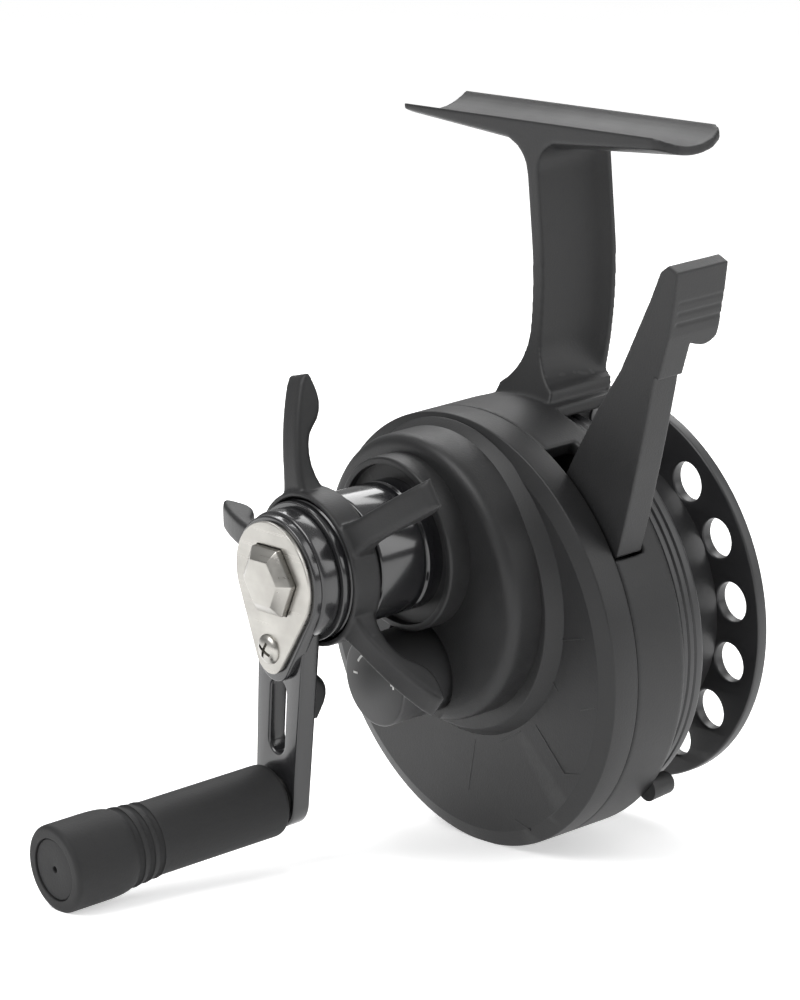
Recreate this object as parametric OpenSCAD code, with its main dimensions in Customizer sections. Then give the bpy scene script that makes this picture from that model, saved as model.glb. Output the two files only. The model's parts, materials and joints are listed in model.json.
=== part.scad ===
// Inline ice fishing reel: a geared single-action reel that hangs under the rod.
// Millimetres, +Z up. +X runs along the rod, +Y runs from the handle towards the open side of
// the spool. The origin is the middle of the rod seat's lowest line. Shapes are drawn about the
// spool's axis, with y = 0 on the seam between ring and cover, and in_row_frame() moves them.

/* [Rod foot] */
// Length of the foot along the rod
foot_length = 60; // [45:1:80]
// Width of the foot
foot_w = 12.7; // [10:0.1:15]
// Radius of the rod that the saddle fits
rod_r = 11.1; // [9:0.1:14]
// Spool axis to the lowest line of the rod seat
axis_drop = 73.5; // [61:0.5:88]
// Seam plane to the middle of the rod seat
seat_back = 20.5; // [17.5:0.5:24]
// Thickness of the foot over the stem
foot_mid_t = 3.1; // [2:0.1:5]

/* [Housing] */
// Outer radius of the ring and cover
housing_r = 34; // [28:0.5:41]
// Width of the ring
ring_w = 9.6; // [9:0.1:11.5]
// Wall of the ring
ring_wall = 2.5; // [1.8:0.1:3]
// Depth of the cover's rim
rim_depth = 5.6; // [4.5:0.1:7]
// Radius of the raised plateau on the cover
plateau_r = 22.2; // [21:0.1:24]
// Height of the plateau's centre over the spool axis
plateau_rise = 10.2; // [9:0.1:11]
// Front of the plateau, forward of the seam
plateau_front = 13.5; // [12.5:0.1:15]
// Skin of the cover
cover_skin = 2; // [1.5:0.1:2.4]

/* [Spool] */
// Gap between the spool's rim and the hood over it
spool_gap = 0.8; // [0.5:0.1:2]
// Near face of the far flange, behind the seam
far_flange_y = 26.8; // [25:0.1:29]
// Thickness of the far flange
flange_t = 1.9; // [1.2:0.1:3]
// Radius of the line bed
bed_r = 22.2; // [17:0.1:23]
// Number of holes in the far flange
hole_count = 16; // [8:1:18]
// Diameter of the flange holes
hole_d = 6.2; // [4:0.1:6.6]
// Radius of the spool shaft
spool_shaft_r = 2; // [1.5:0.05:2.4]

/* [Gears] */
// Gear module
gear_module = 0.5; // [0.45:0.01:0.52]
// Teeth of the drive gear
drive_teeth = 48; // [40:1:50]
// Teeth of the pinion
pinion_teeth = 18; // [17:1:20]
// Face width of the drive gear
gear_face = 3.5; // [3:0.1:4]

/* [Handle] */
// Drive axis to knob axis
crank_length = 36.4; // [30:0.1:46]
// Lean of the crank from straight down, in degrees
crank_lean = 10.6; // [0:0.1:20]
// Thickness of the crank arm
crank_t = 3.2; // [2.4:0.1:4]
// Length of the knob
knob_length = 39; // [32:0.5:50]
// Largest radius of the knob
knob_r = 6.6; // [5.5:0.1:8.5]
// Radius of the drive shaft
drive_shaft_r = 2.95; // [2.5:0.05:3.2]
// Width of the handle nut across its flats
nut_af = 10; // [8:0.1:11]

/* [Star drag and dial] */
// Radius to the tips of the star's arms
star_r = 28; // [24:0.5:30]
// Number of arms on the star
star_arms = 5; // [4:1:6]
// Radius of the power dial
dial_r = 7; // [5.5:0.1:7.5]
// Face of the power dial, forward of the seam
dial_front = 22; // [19:0.1:22.4]

/* [Trigger lever] */
// Swing of the lever, in degrees
lever_swing = 12; // [6:0.5:14]
// Thickness of the lever's beam
lever_t = 4.8; // [3.5:0.1:5]
// Depth of the lever's thumb pad
pad_depth = 8.7; // [6:0.1:11]
// Radius of the lever's pin
lever_pin_r = 1.25; // [1:0.05:1.5]

/* [Fits] */
// Radial clearance of a running fit
running_fit = 0.05; // [0.02:0.01:0.08]
// Gap between pieces that pass each other
pass_gap = 0.4; // [0.3:0.05:0.6]

/* [Hidden] */

$fn = 64;
hair = 0.01;

// Housing
ring_in = housing_r - ring_wall;
wall_y0 = ring_w - 3.2;
wall_y1 = ring_w - 0.6;
cover_in = -rim_depth + cover_skin;
plateau_in = -plateau_front + cover_skin;
hood_t = 1.9;
hood_half = 8;
hood_back = 21;

// Spool
flange_r = housing_r - hood_t - spool_gap;
spool_front = ring_w + pass_gap;
skirt_back = 15.6;
hole_ring_r = (flange_r + bed_r) / 2 - 1.25;
spool_end = far_flange_y + flange_t;

// Gears: the drive axis is one centre distance over the spool axis
drive_z = gear_module * (drive_teeth + pinion_teeth) / 2;
gear_back = 0.2;
gear_front = gear_back - gear_face;
pinion_tube_r = 4;
pinion_collar_r = gear_module * (pinion_teeth / 2 + 1);
pinion_neck_r = 3.2;
groove_y0 = 2.4;
groove_y1 = 3.8;
pinion_end = ring_w + 1.7;
cross_pin_r = 0.75;
cross_pin_half = 3.7;
cross_pin_y = pinion_end - 0.7;
yoke_travel = 2;
backlash = 0.04;

// Drag stack, from the shaft's flange towards the handle
washer_t = 0.6;
plate_t = 1;
drag_r = 9;
stack_front = gear_front - 2 * washer_t - 2 * plate_t;

// Sleeve, star and handle, measured forward of the seam
sleeve_r = 10;
sleeve_bore = 8;
sleeve_front = -27.4;
boss_front = -plateau_front - 3.7;
tube_r = 4;
tube_front = sleeve_front - 0.2;
spring_t = 0.5;
star_back = tube_front - 2 * spring_t - 0.1;
star_front = star_back - 4.9;
star_hub_r = 11.7;
crank_back = star_front - 1.2;
crank_front = crank_back - crank_t;
head_front = crank_front - 1.2;
head_r = 10.4;
plate_front = head_front - 0.8;
nut_front = head_front - 3;
screw_reach = 11.2;
eye_r = 4.7;
flat_half = drive_shaft_r - 0.55;
thread_r = drive_shaft_r - 0.55;

// Knob
spindle_r = 2;
bush_r = 3;
knob_back = crank_front - 0.9;
knob_front = knob_back - knob_length;
knob_x = -crank_length * sin(crank_lean);
knob_z = drive_z - crank_length * cos(crank_lean);

// Power dial, a little off the spool's axis
dial_x = -1;
dial_z = -4;
dial_floor = -plateau_front + 1.6;
stem_r = 1.5;
shaft_bearing_r = 4.5;
bearing_y0 = -9.4;
bearing_y1 = -6.6;
tension_y0 = bearing_y0 - 0.6;

// Lever
lever_y0 = 0.5;
lever_y1 = lever_y0 + lever_t;
lever_pin_at = 22;
pivot_reach = ring_in - 3;
pivot_x = pivot_reach * cos(lever_pin_at);
pivot_z = pivot_reach * sin(lever_pin_at);
notch_low = 27;
notch_high = 62;
lever_hub_r = 2.5;
tail_x = pivot_x - 13.9;
tail_z = pivot_z - 3.7;
tail_y0 = groove_y1 + 0.2;
tail_y1 = wall_y0 - 0.25;

// Screws and posts
screw_ring_r = ring_in - 4;
screw_angles = [-10, 170, 270];
post_r = 1;
post_spots = [[-8.5, 1.5], [8.5, -3]];

function polar(r, a) = [r * cos(a), r * sin(a)];
function arc(x, y, r, a0, a1, n = 8) = [for (i = [0:n]) [x, y] + polar(r, a0 + (a1 - a0) * i / n)];
function bend(a, b, c, n = 8) =
    [for (i = [0:n]) let (t = i / n) a * (1 - t) * (1 - t) + b * 2 * t * (1 - t) + c * t * t];

// Involute teeth
function inv(a) = tan(a) * 180 / PI - a;
function flank_angle(r, base, half) = half + inv(20) - inv(acos(min(1, base / r)));
function tooth(teeth, k) =
    let (pitch = gear_module * teeth / 2)
    let (base = pitch * cos(20))
    let (root = pitch - 1.25 * gear_module)
    let (tip = pitch + gear_module - 0.03)
    let (half = 90 / teeth - backlash / 2 / pitch * 180 / PI)
    let (steps = 4)
    let (low = max(base, root))
    let (radii = [for (i = [0:steps]) low + (tip - low) * i / steps])
    let (flank = [for (r = radii) [r, flank_angle(r, base, half)]])
    let (at = 360 * k / teeth)
    concat(
        [polar(root, at - flank_angle(low, base, half) - 0.2)],
        [for (p = flank) polar(p[0], at - p[1])],
        [for (i = [steps:-1:0]) polar(flank[i][0], at + flank[i][1])],
        [polar(root, at + flank_angle(low, base, half) + 0.2)]
    );
function gear_outline(teeth) = [for (k = [0:teeth - 1]) for (p = tooth(teeth, k)) p];

// Moves a shape drawn about the spool's axis into the frame of the rod seat
module in_row_frame() {
    translate([0, -seat_back, -axis_drop]) children();
}

// Extrudes an outline drawn in x and z from y0 to y1
module along_y(y0, y1) {
    translate([0, y1, 0]) rotate([90, 0, 0]) linear_extrude(y1 - y0) children();
}

// Extrudes an outline drawn in y and z from x0 to x1
module along_x(x0, x1) {
    translate([x0, 0, 0]) rotate([90, 0, 90]) linear_extrude(x1 - x0) children();
}

// Turns a profile drawn as radius and y about an axis parallel to y
module lathe_y(x, z) {
    translate([x, 0, z]) rotate([-90, 0, 0]) rotate_extrude() children();
}

module rod_y(r, y0, y1, x = 0, z = 0) {
    translate([x, y1, z]) rotate([90, 0, 0]) cylinder(r = r, h = y1 - y0);
}

module ring_y(r, bore, y0, y1, x = 0, z = 0) {
    difference() {
        rod_y(r, y0, y1, x, z);
        rod_y(bore, y0 - 1, y1 + 1, x, z);
    }
}

// A plate round two centres, the second one d below the first, with straight sides between them
module tapered_plate(r1, r2, d, y0, y1) {
    a = acos((r1 - r2) / d);
    inset = 0.99;
    n1 = inset * [sin(a), -cos(a)];
    n2 = inset * [-sin(a), -cos(a)];
    rod_y(r1, y0, y1);
    rod_y(r2, y0, y1, 0, -d);
    along_y(y0, y1) polygon([n1 * r1, [0, -d] + n1 * r2, [0, -d] + n2 * r2, n2 * r1]);
}

// A pie slice of the circle between two angles
module slice(r, a0, a1) {
    polygon(concat([[0, 0]], arc(0, 0, r / cos((a1 - a0) / 12), a0, a1, 6)));
}

// A round wire swept along points, as one closed faceted tube
module wire(points, r, sides = 8) {
    n = len(points);
    steps = [for (i = [0:n - 1]) points[min(i + 1, n - 1)] - points[max(i - 1, 0)]];
    tangents = [for (d = steps) d / norm(d)];
    rings = [for (i = [0:n - 1])
        let (t = tangents[i])
        let (ref = abs(t[1]) < 0.9 ? [0, 1, 0] : [1, 0, 0])
        let (u = cross(t, ref) / norm(cross(t, ref)))
        let (v = cross(t, u))
        for (s = [0:sides - 1])
            points[i] + r * (cos(360 * s / sides) * u + sin(360 * s / sides) * v)];
    walls = [for (i = [0:n - 2]) for (s = [0:sides - 1])
        let (a = i * sides + s)
        let (b = i * sides + (s + 1) % sides)
        [b, a, a + sides, b + sides]];
    polyhedron(rings, concat(walls, [[for (s = [0:sides - 1]) s]],
        [[for (s = [sides - 1:-1:0]) (n - 1) * sides + s]]));
}

function coil(x, z, r, y0, y1, turns, start = 0, per_turn = 12) =
    [for (i = [0:turns * per_turn])
        [x + r * cos(start + 360 * i / per_turn),
         y0 + (y1 - y0) * i / (turns * per_turn),
         z + r * sin(start + 360 * i / per_turn)]];

// ---- Frame: ring, back wall, hood, stem and rod foot in one moulding ----

module ring_shell() {
    lathe_y(0, 0) polygon(concat(
        [[ring_in, 0], [housing_r - 0.2, 0], [housing_r, 0.2]],
        arc(housing_r - 0.9, ring_w - 0.9, 0.9, 0, 90, 4),
        [[ring_in, ring_w]]
    ));
    rod_y(ring_in + hair, wall_y0, wall_y1);
    rod_y(8.3, wall_y0 - 1, wall_y1);
    rod_y(5.4, wall_y0 - 1.6, wall_y1, 0, drive_z);
}

module hood() {
    intersection() {
        ring_y(housing_r, housing_r - hood_t, ring_w - 1, hood_back);
        translate([-hood_half, 0, 0]) cube([2 * hood_half, hood_back, housing_r]);
    }
}

module stem_web_outline() {
    half = 1.3;
    base = 9;
    top = 5;
    top_z = axis_drop - foot_mid_t;
    translate([-half, housing_r - 3]) square([2 * half, top_z - housing_r + 3.2]);
    difference() {
        translate([-6.5, housing_r - 3]) square([13, base + 3]);
        for (side = [-1, 1]) translate([side * (half + base), housing_r + base]) circle(base);
    }
    difference() {
        translate([-half - top, top_z - top]) square([2 * (half + top), top + 0.2]);
        for (side = [-1, 1]) translate([side * (half + top), top_z - top]) circle(top);
    }
}

// Side view of the stem: it leans from the ring to the foot
module stem_side_outline(front_inset = 0) {
    front = seat_back - foot_w / 2 + front_inset;
    back = seat_back + foot_w / 2;
    top_z = axis_drop - foot_mid_t + 0.4;
    low = housing_r - 2.4;
    toe = ring_w - 0.8 + front_inset;
    front_edge = bend([toe, low], [toe + 1.2, low + 12], [front, low + 26]);
    back_edge = bend([back - 0.5, low + 26], [back - 2, low + 14], [hood_back, low]);
    polygon(concat(front_edge, [[front, top_z], [back, top_z]], back_edge));
}

module stem() {
    intersection() {
        along_y(0, seat_back + foot_w) stem_web_outline();
        along_x(-8, 8) stem_side_outline();
    }
    intersection() {
        translate([-4.5, 0, housing_r - 2]) cube([9, seat_back + foot_w, axis_drop - housing_r - 0.6]);
        along_x(-8, 8) difference() {
            stem_side_outline();
            translate([-2.5, -hair]) stem_side_outline();
        }
    }
}

// Half of the foot: its underside is a cylinder that rises towards the end
module foot_half(side, end_t) {
    belly_r = 12.5;
    slope = atan((foot_mid_t - end_t) / (foot_length / 2));
    intersection() {
        translate([side < 0 ? -foot_length / 2 : -hair, -foot_w / 2, -foot_mid_t - 1])
            cube([foot_length / 2 + hair, foot_w, 12]);
        translate([0, 0, -foot_mid_t + belly_r]) rotate([0, side * (90 - slope), 0])
            translate([0, 0, -10]) cylinder(r = belly_r, h = foot_length / 2 + 20);
    }
}

module foot() {
    corner = 3;
    translate([0, seat_back, axis_drop]) difference() {
        intersection() {
            union() {
                foot_half(-1, 0.7);
                foot_half(1, 1.4);
            }
            translate([0, 0, -8]) linear_extrude(20) union() {
                translate([-foot_length / 2, -foot_w / 2]) square([foot_length - corner, foot_w]);
                translate([0, -foot_w / 2 + corner]) square([foot_length / 2, foot_w - 2 * corner]);
                for (side = [-1, 1])
                    translate([foot_length / 2 - corner, side * (foot_w / 2 - corner)]) circle(corner);
            }
        }
        translate([-foot_length, 0, rod_r]) rotate([0, 90, 0]) cylinder(r = rod_r, h = 2 * foot_length);
    }
}

module frame() {
    color("dimgray") in_row_frame() difference() {
        union() {
            ring_shell();
            hood();
            stem();
            foot();
        }
        rod_y(6.5, wall_y0 - 0.4, wall_y1 + 1);
        rod_y(pinion_tube_r + 0.8, 0, ring_w + 1);
        rod_y(4, wall_y0 - 2, wall_y1 + 1, 0, drive_z);
        rod_y(lever_pin_r, wall_y0 - 1, wall_y1 + 1, pivot_x, pivot_z);
        for (p = post_spots) rod_y(post_r, wall_y0 - 2, wall_y1 - 0.8, p[0], p[1]);
        for (a = screw_angles) {
            p = polar(screw_ring_r, a);
            rod_y(1.3, wall_y0 - 1, wall_y1 + 1, p[0], p[1]);
            rod_y(2.2, wall_y1 - 1, wall_y1 + 1, p[0], p[1]);
        }
        along_y(-1, lever_y1 + pass_gap) difference() {
            slice(housing_r + 2, notch_low, notch_high);
            circle(ring_in - 3);
        }
    }
}

// ---- Cover on the handle side ----

module cover_outside() {
    edge = 1.1;
    round_r = 2.2;
    step_r = 24.9;
    step_rise = housing_r - step_r - 0.5;
    lathe_y(0, 0) polygon(concat(
        [[0, -rim_depth]],
        arc(housing_r - edge, -rim_depth + edge, edge, -90, 0, 5),
        [[housing_r, -0.2], [housing_r - 0.2, 0], [0, 0]]
    ));
    lathe_y(0, step_rise) polygon([
        [0, -rim_depth + 1], [step_r, -rim_depth + 0.2],
        [step_r - 1.9, -rim_depth - 2.2], [0, -rim_depth - 2.2]
    ]);
    lathe_y(0, plateau_rise) polygon(concat(
        [[0, -rim_depth + 1]],
        [[0, -plateau_front]],
        arc(plateau_r - round_r, -plateau_front + round_r, round_r, -90, 0, 6),
        [[plateau_r, -rim_depth + 1]]
    ));
    lathe_y(0, drive_z) polygon(concat(
        [[0, -plateau_front + 1], [0, boss_front]],
        arc(13.4 - 1.5, boss_front + 1.5, 1.5, -90, 0, 5),
        [[13.4, -plateau_front + 1]]
    ));
}

module cover_bosses() {
    rod_y(8.3, plateau_in - 0.5, bearing_y1, -0.5, -2);
    rod_y(dial_r + 2.4, plateau_in - 0.5, dial_floor + 1.4, dial_x, dial_z);
    for (p = post_spots) rod_y(2.2, plateau_in - 0.5, -3.2, p[0], p[1]);
    for (a = screw_angles) {
        p = polar(screw_ring_r, a);
        rod_y(2.6, cover_in - 0.5, wall_y0 - 0.1, p[0], p[1]);
    }
    rod_y(2.6, cover_in - 0.5, -2.8, pivot_x, pivot_z);
    difference() {
        ring_y(ring_in - 0.1, ring_in - 1.6, -1, 1.4);
        along_y(-2, 2) slice(housing_r, 8, 72);
    }
}

module side_cover() {
    color("dimgray") in_row_frame() difference() {
        union() {
            difference() {
                cover_outside();
                rod_y(ring_in - 0.1, cover_in, 1);
                rod_y(plateau_r - cover_skin - 0.3, plateau_in, 1, 0, plateau_rise);
            }
            cover_bosses();
        }
        rod_y(sleeve_r, boss_front - 1, plateau_in + 1, 0, drive_z);
        ring_y(12.3, sleeve_r - 1, boss_front - 1, boss_front + 1.3, 0, drive_z);
        rod_y(dial_r + 1.2, -plateau_front - 1, dial_floor, dial_x, dial_z);
        rod_y(stem_r + running_fit, -plateau_front, tension_y0 + 0.2, dial_x, dial_z);
        rod_y(6.4, tension_y0, bearing_y0 + hair, -0.5, -2);
        rod_y(shaft_bearing_r, tension_y0, 0, 0, 0);
        rod_y(lever_pin_r + 0.02, cover_in + 0.2, 0, pivot_x, pivot_z);
        for (p = post_spots) rod_y(post_r + 0.02, -6.2, 0, p[0], p[1]);
        for (a = screw_angles) {
            p = polar(screw_ring_r, a);
            rod_y(1, cover_in + 1, wall_y0 + 1, p[0], p[1]);
        }
    }
}

module cover_screws() {
    color("silver") in_row_frame() for (a = screw_angles) {
        p = polar(screw_ring_r, a);
        difference() {
            union() {
                rod_y(2, wall_y1 - 1, wall_y1 - 0.1, p[0], p[1]);
                rod_y(1, cover_in + 1.4, wall_y1 - 0.5, p[0], p[1]);
            }
            translate([p[0] - 0.25, wall_y1 - 0.5, p[1] - 1.3]) cube([0.5, 1, 2.6]);
            translate([p[0] - 1.3, wall_y1 - 0.5, p[1] - 0.25]) cube([2.6, 1, 0.5]);
        }
    }
}

module bearing_sleeve() {
    color("black") in_row_frame() lathe_y(0, drive_z) polygon([
        [sleeve_r, plateau_in], [sleeve_r, boss_front - 1.2], [sleeve_r - 0.4, boss_front - 1.4],
        [sleeve_r - 0.4, boss_front - 1.6], [sleeve_r, boss_front - 1.8], [sleeve_r, sleeve_front + 0.5],
        [sleeve_r - 0.5, sleeve_front], [tube_r + 1, sleeve_front], [tube_r + 1, sleeve_front + 1.8],
        [sleeve_bore, sleeve_front + 1.8], [sleeve_bore, plateau_in]
    ]);
}

module drive_bearing() {
    y0 = sleeve_front + 1.8;
    color("silver") in_row_frame() difference() {
        ring_y(sleeve_bore, tube_r + running_fit, y0, y0 + 5, 0, drive_z);
        ring_y(6.9, 5.1, y0 - 1, y0 + 0.3, 0, drive_z);
        ring_y(6.9, 5.1, y0 + 4.7, y0 + 6, 0, drive_z);
    }
}

module oneway_clutch() {
    y0 = sleeve_front + 7;
    color("gray") in_row_frame() {
        ring_y(sleeve_bore, 6.6, y0, plateau_in - 0.4, 0, drive_z);
        for (k = [0:7]) {
            p = polar(tube_r + running_fit + 1, 45 * k);
            rod_y(1, y0 + 0.6, plateau_in - 1, p[0], drive_z + p[1]);
        }
    }
}

module drive_bush() {
    color("goldenrod") in_row_frame() ring_y(4, 2.5 + running_fit, wall_y0 - 1.4, wall_y1, 0, drive_z);
}

module pinion_bearing() {
    y0 = wall_y0 - 0.4;
    color("silver") in_row_frame() difference() {
        ring_y(6.5, pinion_tube_r + running_fit, y0, wall_y1 - 0.2);
        ring_y(5.9, 4.7, y0 - 1, y0 + 0.3);
        ring_y(5.9, 4.7, wall_y1 - 0.5, wall_y1 + 1);
    }
}

module shaft_bearing() {
    color("silver") in_row_frame() difference() {
        ring_y(shaft_bearing_r, spool_shaft_r + running_fit, bearing_y0, bearing_y1);
        ring_y(3.9, 2.7, bearing_y1 - 0.3, bearing_y1 + 1);
    }
}

// Leaf that carries the dial's push to the end of the spool shaft
module tension_plate() {
    color("silver") in_row_frame() rod_y(6.3, tension_y0 + 0.1, tension_y0 + 0.5, -0.5, -2);
}

module dial_oring() {
    ring_r = stem_r + 1;
    cord_r = 0.45;
    color("black") in_row_frame() lathe_y(dial_x, dial_z)
        translate([ring_r, dial_floor - cord_r]) circle(cord_r);
}

module power_dial() {
    pocket_r = 3.2;
    rim = 0.5;
    color("dimgray") in_row_frame() lathe_y(dial_x, dial_z) polygon([
        [0, tension_y0 - 0.05], [stem_r, tension_y0 - 0.05], [stem_r, dial_floor - 1.1],
        [pocket_r, dial_floor - 1.1], [pocket_r, dial_floor - 0.2], [dial_r, dial_floor - 0.2],
        [dial_r, -dial_front + rim], [dial_r - rim, -dial_front], [0, -dial_front]
    ]);
}

// Small nub behind the ring that the loose line end is hooked on
module line_keeper() {
    color("gray") in_row_frame() rotate([0, 45, 0]) {
        translate([housing_r - 1.9, ring_w, -2]) cube([1.9, 4, 4]);
        rod_y(1.4, ring_w + 1, ring_w + 4, housing_r - 0.2, 0);
    }
}

// ---- Free-spool clutch ----

module yoke_posts() {
    color("silver") in_row_frame() for (p = post_spots) rod_y(post_r, -6, wall_y1 - 0.8, p[0], p[1]);
}

module yoke_springs() {
    color("silver") in_row_frame() for (p = post_spots)
        wire(coil(p[0], p[1], post_r + 0.5, -2.9, groove_y0 - 0.1, 4), 0.22, 6);
}

module clutch_yoke() {
    y0 = groove_y0 + 0.15;
    y1 = groove_y1 - 0.15;
    throat = pinion_neck_r + 0.15;
    color("silver") in_row_frame() difference() {
        union() {
            along_y(y0, y1) polygon([[-9.5, -0.5], [-9, 4.6], [-4, 5.6], [4, 5.6], [10.5, 4.6],
                [14, 4.6], [14, 1], [9, -5], [-7, -5]]);
            for (p = post_spots) rod_y(2.6, y0, y1, p[0], p[1]);
        }
        rod_y(throat, y0 - 1, y1 + 1);
        translate([-throat, y0 - 1, -20]) cube([2 * throat, 4, 20]);
        for (p = post_spots) rod_y(post_r + running_fit, y0 - 1, y1 + 1, p[0], p[1]);
    }
}

module pinion_gear() {
    color("goldenrod") in_row_frame() difference() {
        union() {
            along_y(gear_front - 0.2, groove_y0) polygon(gear_outline(pinion_teeth));
            rod_y(pinion_neck_r, groove_y0 - 1, pinion_end);
            rod_y(pinion_collar_r, groove_y1, groove_y1 + 0.8);
            rod_y(pinion_tube_r, groove_y1, pinion_end);
        }
        rod_y(spool_shaft_r + running_fit, -10, 20);
        translate([-cross_pin_r - 0.08, cross_pin_y - cross_pin_r - 0.15, -6])
            cube([2 * cross_pin_r + 0.16, 6, 12]);
    }
}

// ---- Trigger lever ----

lever_foot = [
    polar(housing_r + 1.9, 53.8),
    polar(ring_in - 1.2, 53.2),
    polar(ring_in - 2.2, 44),
    polar(ring_in - 2.2, 34)
];
lever_scale = housing_r / 34;
lever_inner = lever_scale * [[43, 60], [40.5, 55.7], [33.2, 44.4], [27.6, 37.7]];
lever_outer = bend(polar(housing_r, notch_low + 0.6), lever_scale * [37.6, 33.5], lever_scale * [44.3, 57]);
lever_tip = [lever_scale * [44.7, 61.1]];
pad_outline = lever_scale * [[42.4, 59], [44.7, 61.1], [46.6, 60.2], [45.6, 56], [44, 50.5], [41.2, 44],
    [38.6, 45], [41.2, 54]];

module lever_outline() {
    polygon(concat(lever_foot, [polar(ring_in - 2, notch_low + 1.5)], lever_outer,
        lever_tip, lever_inner));
}

module lever_pad() {
    pad_back = lever_y0 + pad_depth;
    under = 40 * lever_scale;
    difference() {
        along_y(lever_y0, pad_back) polygon(pad_outline);
        along_x(0, 2 * housing_r) polygon(concat(
            [[lever_y1, under]],
            bend([lever_y1, under * 1.22], [pad_back, under * 1.15], [pad_back + 1, under * 1.3]),
            [[pad_back + 2, under]]
        ));
        for (k = [0:5]) {
            p = [46.9, 59.2] * lever_scale - k * [0.5, 1.45];
            rod_y(0.45, lever_y0 + 1, pad_back + 1, p[0], p[1]);
        }
    }
}

module lever_tail() {
    travel = (lever_swing * PI / 180) * 14.4;
    drop = [3.7, -13.9] / 14.4;
    start = [tail_x, tail_z];
    along_y(tail_y0 + 0.2, tail_y1) polygon([
        [pivot_x, pivot_z + 2], start + [0, 1.6] + drop * -travel, start + [-1, 0.5], start + [1.5, -0.9],
        [pivot_x, pivot_z - 2]
    ]);
    translate([start[0], 0, start[1]]) along_x(-0.8, 1.6)
        polygon([[tail_y0 + 0.4, -0.8], [tail_y0, -0.8], [tail_y0 - yoke_travel, -0.8 + travel],
            [tail_y0 - yoke_travel, travel + 0.2], [tail_y0 + 0.4, travel + 0.2]]);
}

module trigger_lever() {
    color("dimgray") in_row_frame() difference() {
        union() {
            along_y(lever_y0, lever_y1) lever_outline();
            lever_pad();
            rod_y(lever_hub_r, lever_y0, tail_y1, pivot_x, pivot_z);
            along_y(lever_y0, lever_y1) polygon([[pivot_x - 2.2, pivot_z], [pivot_x + 2.2, pivot_z + 0.5],
                polar(ring_in - 0.5, notch_low + 2), polar(ring_in - 3, 40)]);
            lever_tail();
        }
        rod_y(lever_pin_r + running_fit, -2, ring_w, pivot_x, pivot_z);
    }
}

module trigger_pin() {
    color("silver") in_row_frame() rod_y(lever_pin_r, cover_in + 0.3, wall_y1 - 0.4, pivot_x, pivot_z);
}

module trigger_spring() {
    r = lever_pin_r + 0.65;
    color("silver") in_row_frame()
        wire(concat([[pivot_x + r, -2.4, pivot_z - 5]], coil(pivot_x, pivot_z, r, -2.3, 0.1, 3.5),
            [[pivot_x - r, 0.15, pivot_z + 5.5]]), 0.22, 6);
}

// ---- Spool ----

module spool_profile() {
    groove = 0.25;
    pitch = 1.3;
    polygon(concat(
        [[spool_shaft_r, ring_w + 2.8], [4.9, ring_w + 2.8], [4.9, ring_w + 0.7], [7, ring_w + 0.7],
         [7, 18], [bed_r - 1.8, 18], [bed_r - 1.8, skirt_back - 1.8], [flange_r - 1.5, skirt_back - 1.8],
         [flange_r - 1.5, spool_front], [flange_r, spool_front]],
        [for (k = [1:3]) for (s = [-1, 0, 1])
            [flange_r - (s == 0 ? groove : 0), spool_front + k * pitch + s * groove]],
        [[flange_r, skirt_back - 0.2], [flange_r - 0.2, skirt_back], [bed_r, skirt_back],
         [bed_r, far_flange_y], [flange_r - 0.3, far_flange_y], [flange_r, far_flange_y + 0.3],
         [flange_r, spool_end - 0.3], [flange_r - 0.3, spool_end], [bed_r - 1.8, spool_end],
         [bed_r - 1.8, 20], [7, 20], [7, spool_end - 0.5], [spool_shaft_r, spool_end - 0.5]]
    ));
}

module spool() {
    step = 360 / hole_count;
    phase = 48.7;
    color("dimgray") in_row_frame() difference() {
        lathe_y(0, 0) spool_profile();
        for (k = [0:hole_count - 1]) {
            p = polar(hole_ring_r, phase + k * step);
            rod_y(hole_d / 2, far_flange_y - 1, spool_end + 1, p[0], p[1]);
        }
    }
}

module spool_shaft() {
    color("silver") in_row_frame() difference() {
        rod_y(spool_shaft_r, tension_y0 + 0.6, spool_end + 2.6);
        translate([0, cross_pin_y, -5]) cylinder(r = cross_pin_r, h = 10);
    }
}

module cross_pin() {
    color("silver") in_row_frame() translate([0, cross_pin_y, -cross_pin_half])
        cylinder(r = cross_pin_r, h = 2 * cross_pin_half);
}

module spool_nut() {
    color("silver") in_row_frame() difference() {
        union() {
            rod_y(5.6, spool_end - 0.5, spool_end);
            along_y(spool_end, spool_end + 2) circle(4.6, $fn = 6);
        }
        rod_y(spool_shaft_r, 0, 60);
    }
}

// ---- Drive train on the handle's axis ----

module double_d(r) {
    intersection() {
        circle(r);
        square([2 * flat_half, 4 * r], center = true);
    }
}

module keyed_ring(r, y0, y1) {
    translate([0, 0, drive_z]) along_y(y0, y1) difference() {
        circle(r);
        double_d(drive_shaft_r);
    }
}

module drive_shaft() {
    flange_y0 = gear_back + washer_t;
    color("silver") in_row_frame() {
        rod_y(2.5, flange_y0, wall_y1 - 0.2, 0, drive_z);
        rod_y(drag_r, flange_y0, flange_y0 + 1, 0, drive_z);
        translate([0, 0, drive_z]) along_y(head_front, flange_y0 + hair) double_d(drive_shaft_r);
        rod_y(thread_r, nut_front + 0.4, head_front + hair, 0, drive_z);
    }
}

module drive_gear() {
    color("goldenrod") in_row_frame() translate([0, 0, drive_z])
        along_y(gear_front, gear_back) difference() {
            polygon(gear_outline(drive_teeth));
            circle(drive_shaft_r);
        }
}

module friction_washers() {
    color("black") in_row_frame() {
        for (y = [gear_back, gear_front - washer_t, gear_front - 2 * washer_t - plate_t])
            ring_y(drag_r - 0.2, drive_shaft_r, y, y + washer_t, 0, drive_z);
    }
}

module keyed_washers() {
    color("silver") in_row_frame() {
        keyed_ring(drag_r, gear_front - washer_t - plate_t, gear_front - washer_t);
        keyed_ring(drag_r, stack_front, stack_front + plate_t);
    }
}

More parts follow.
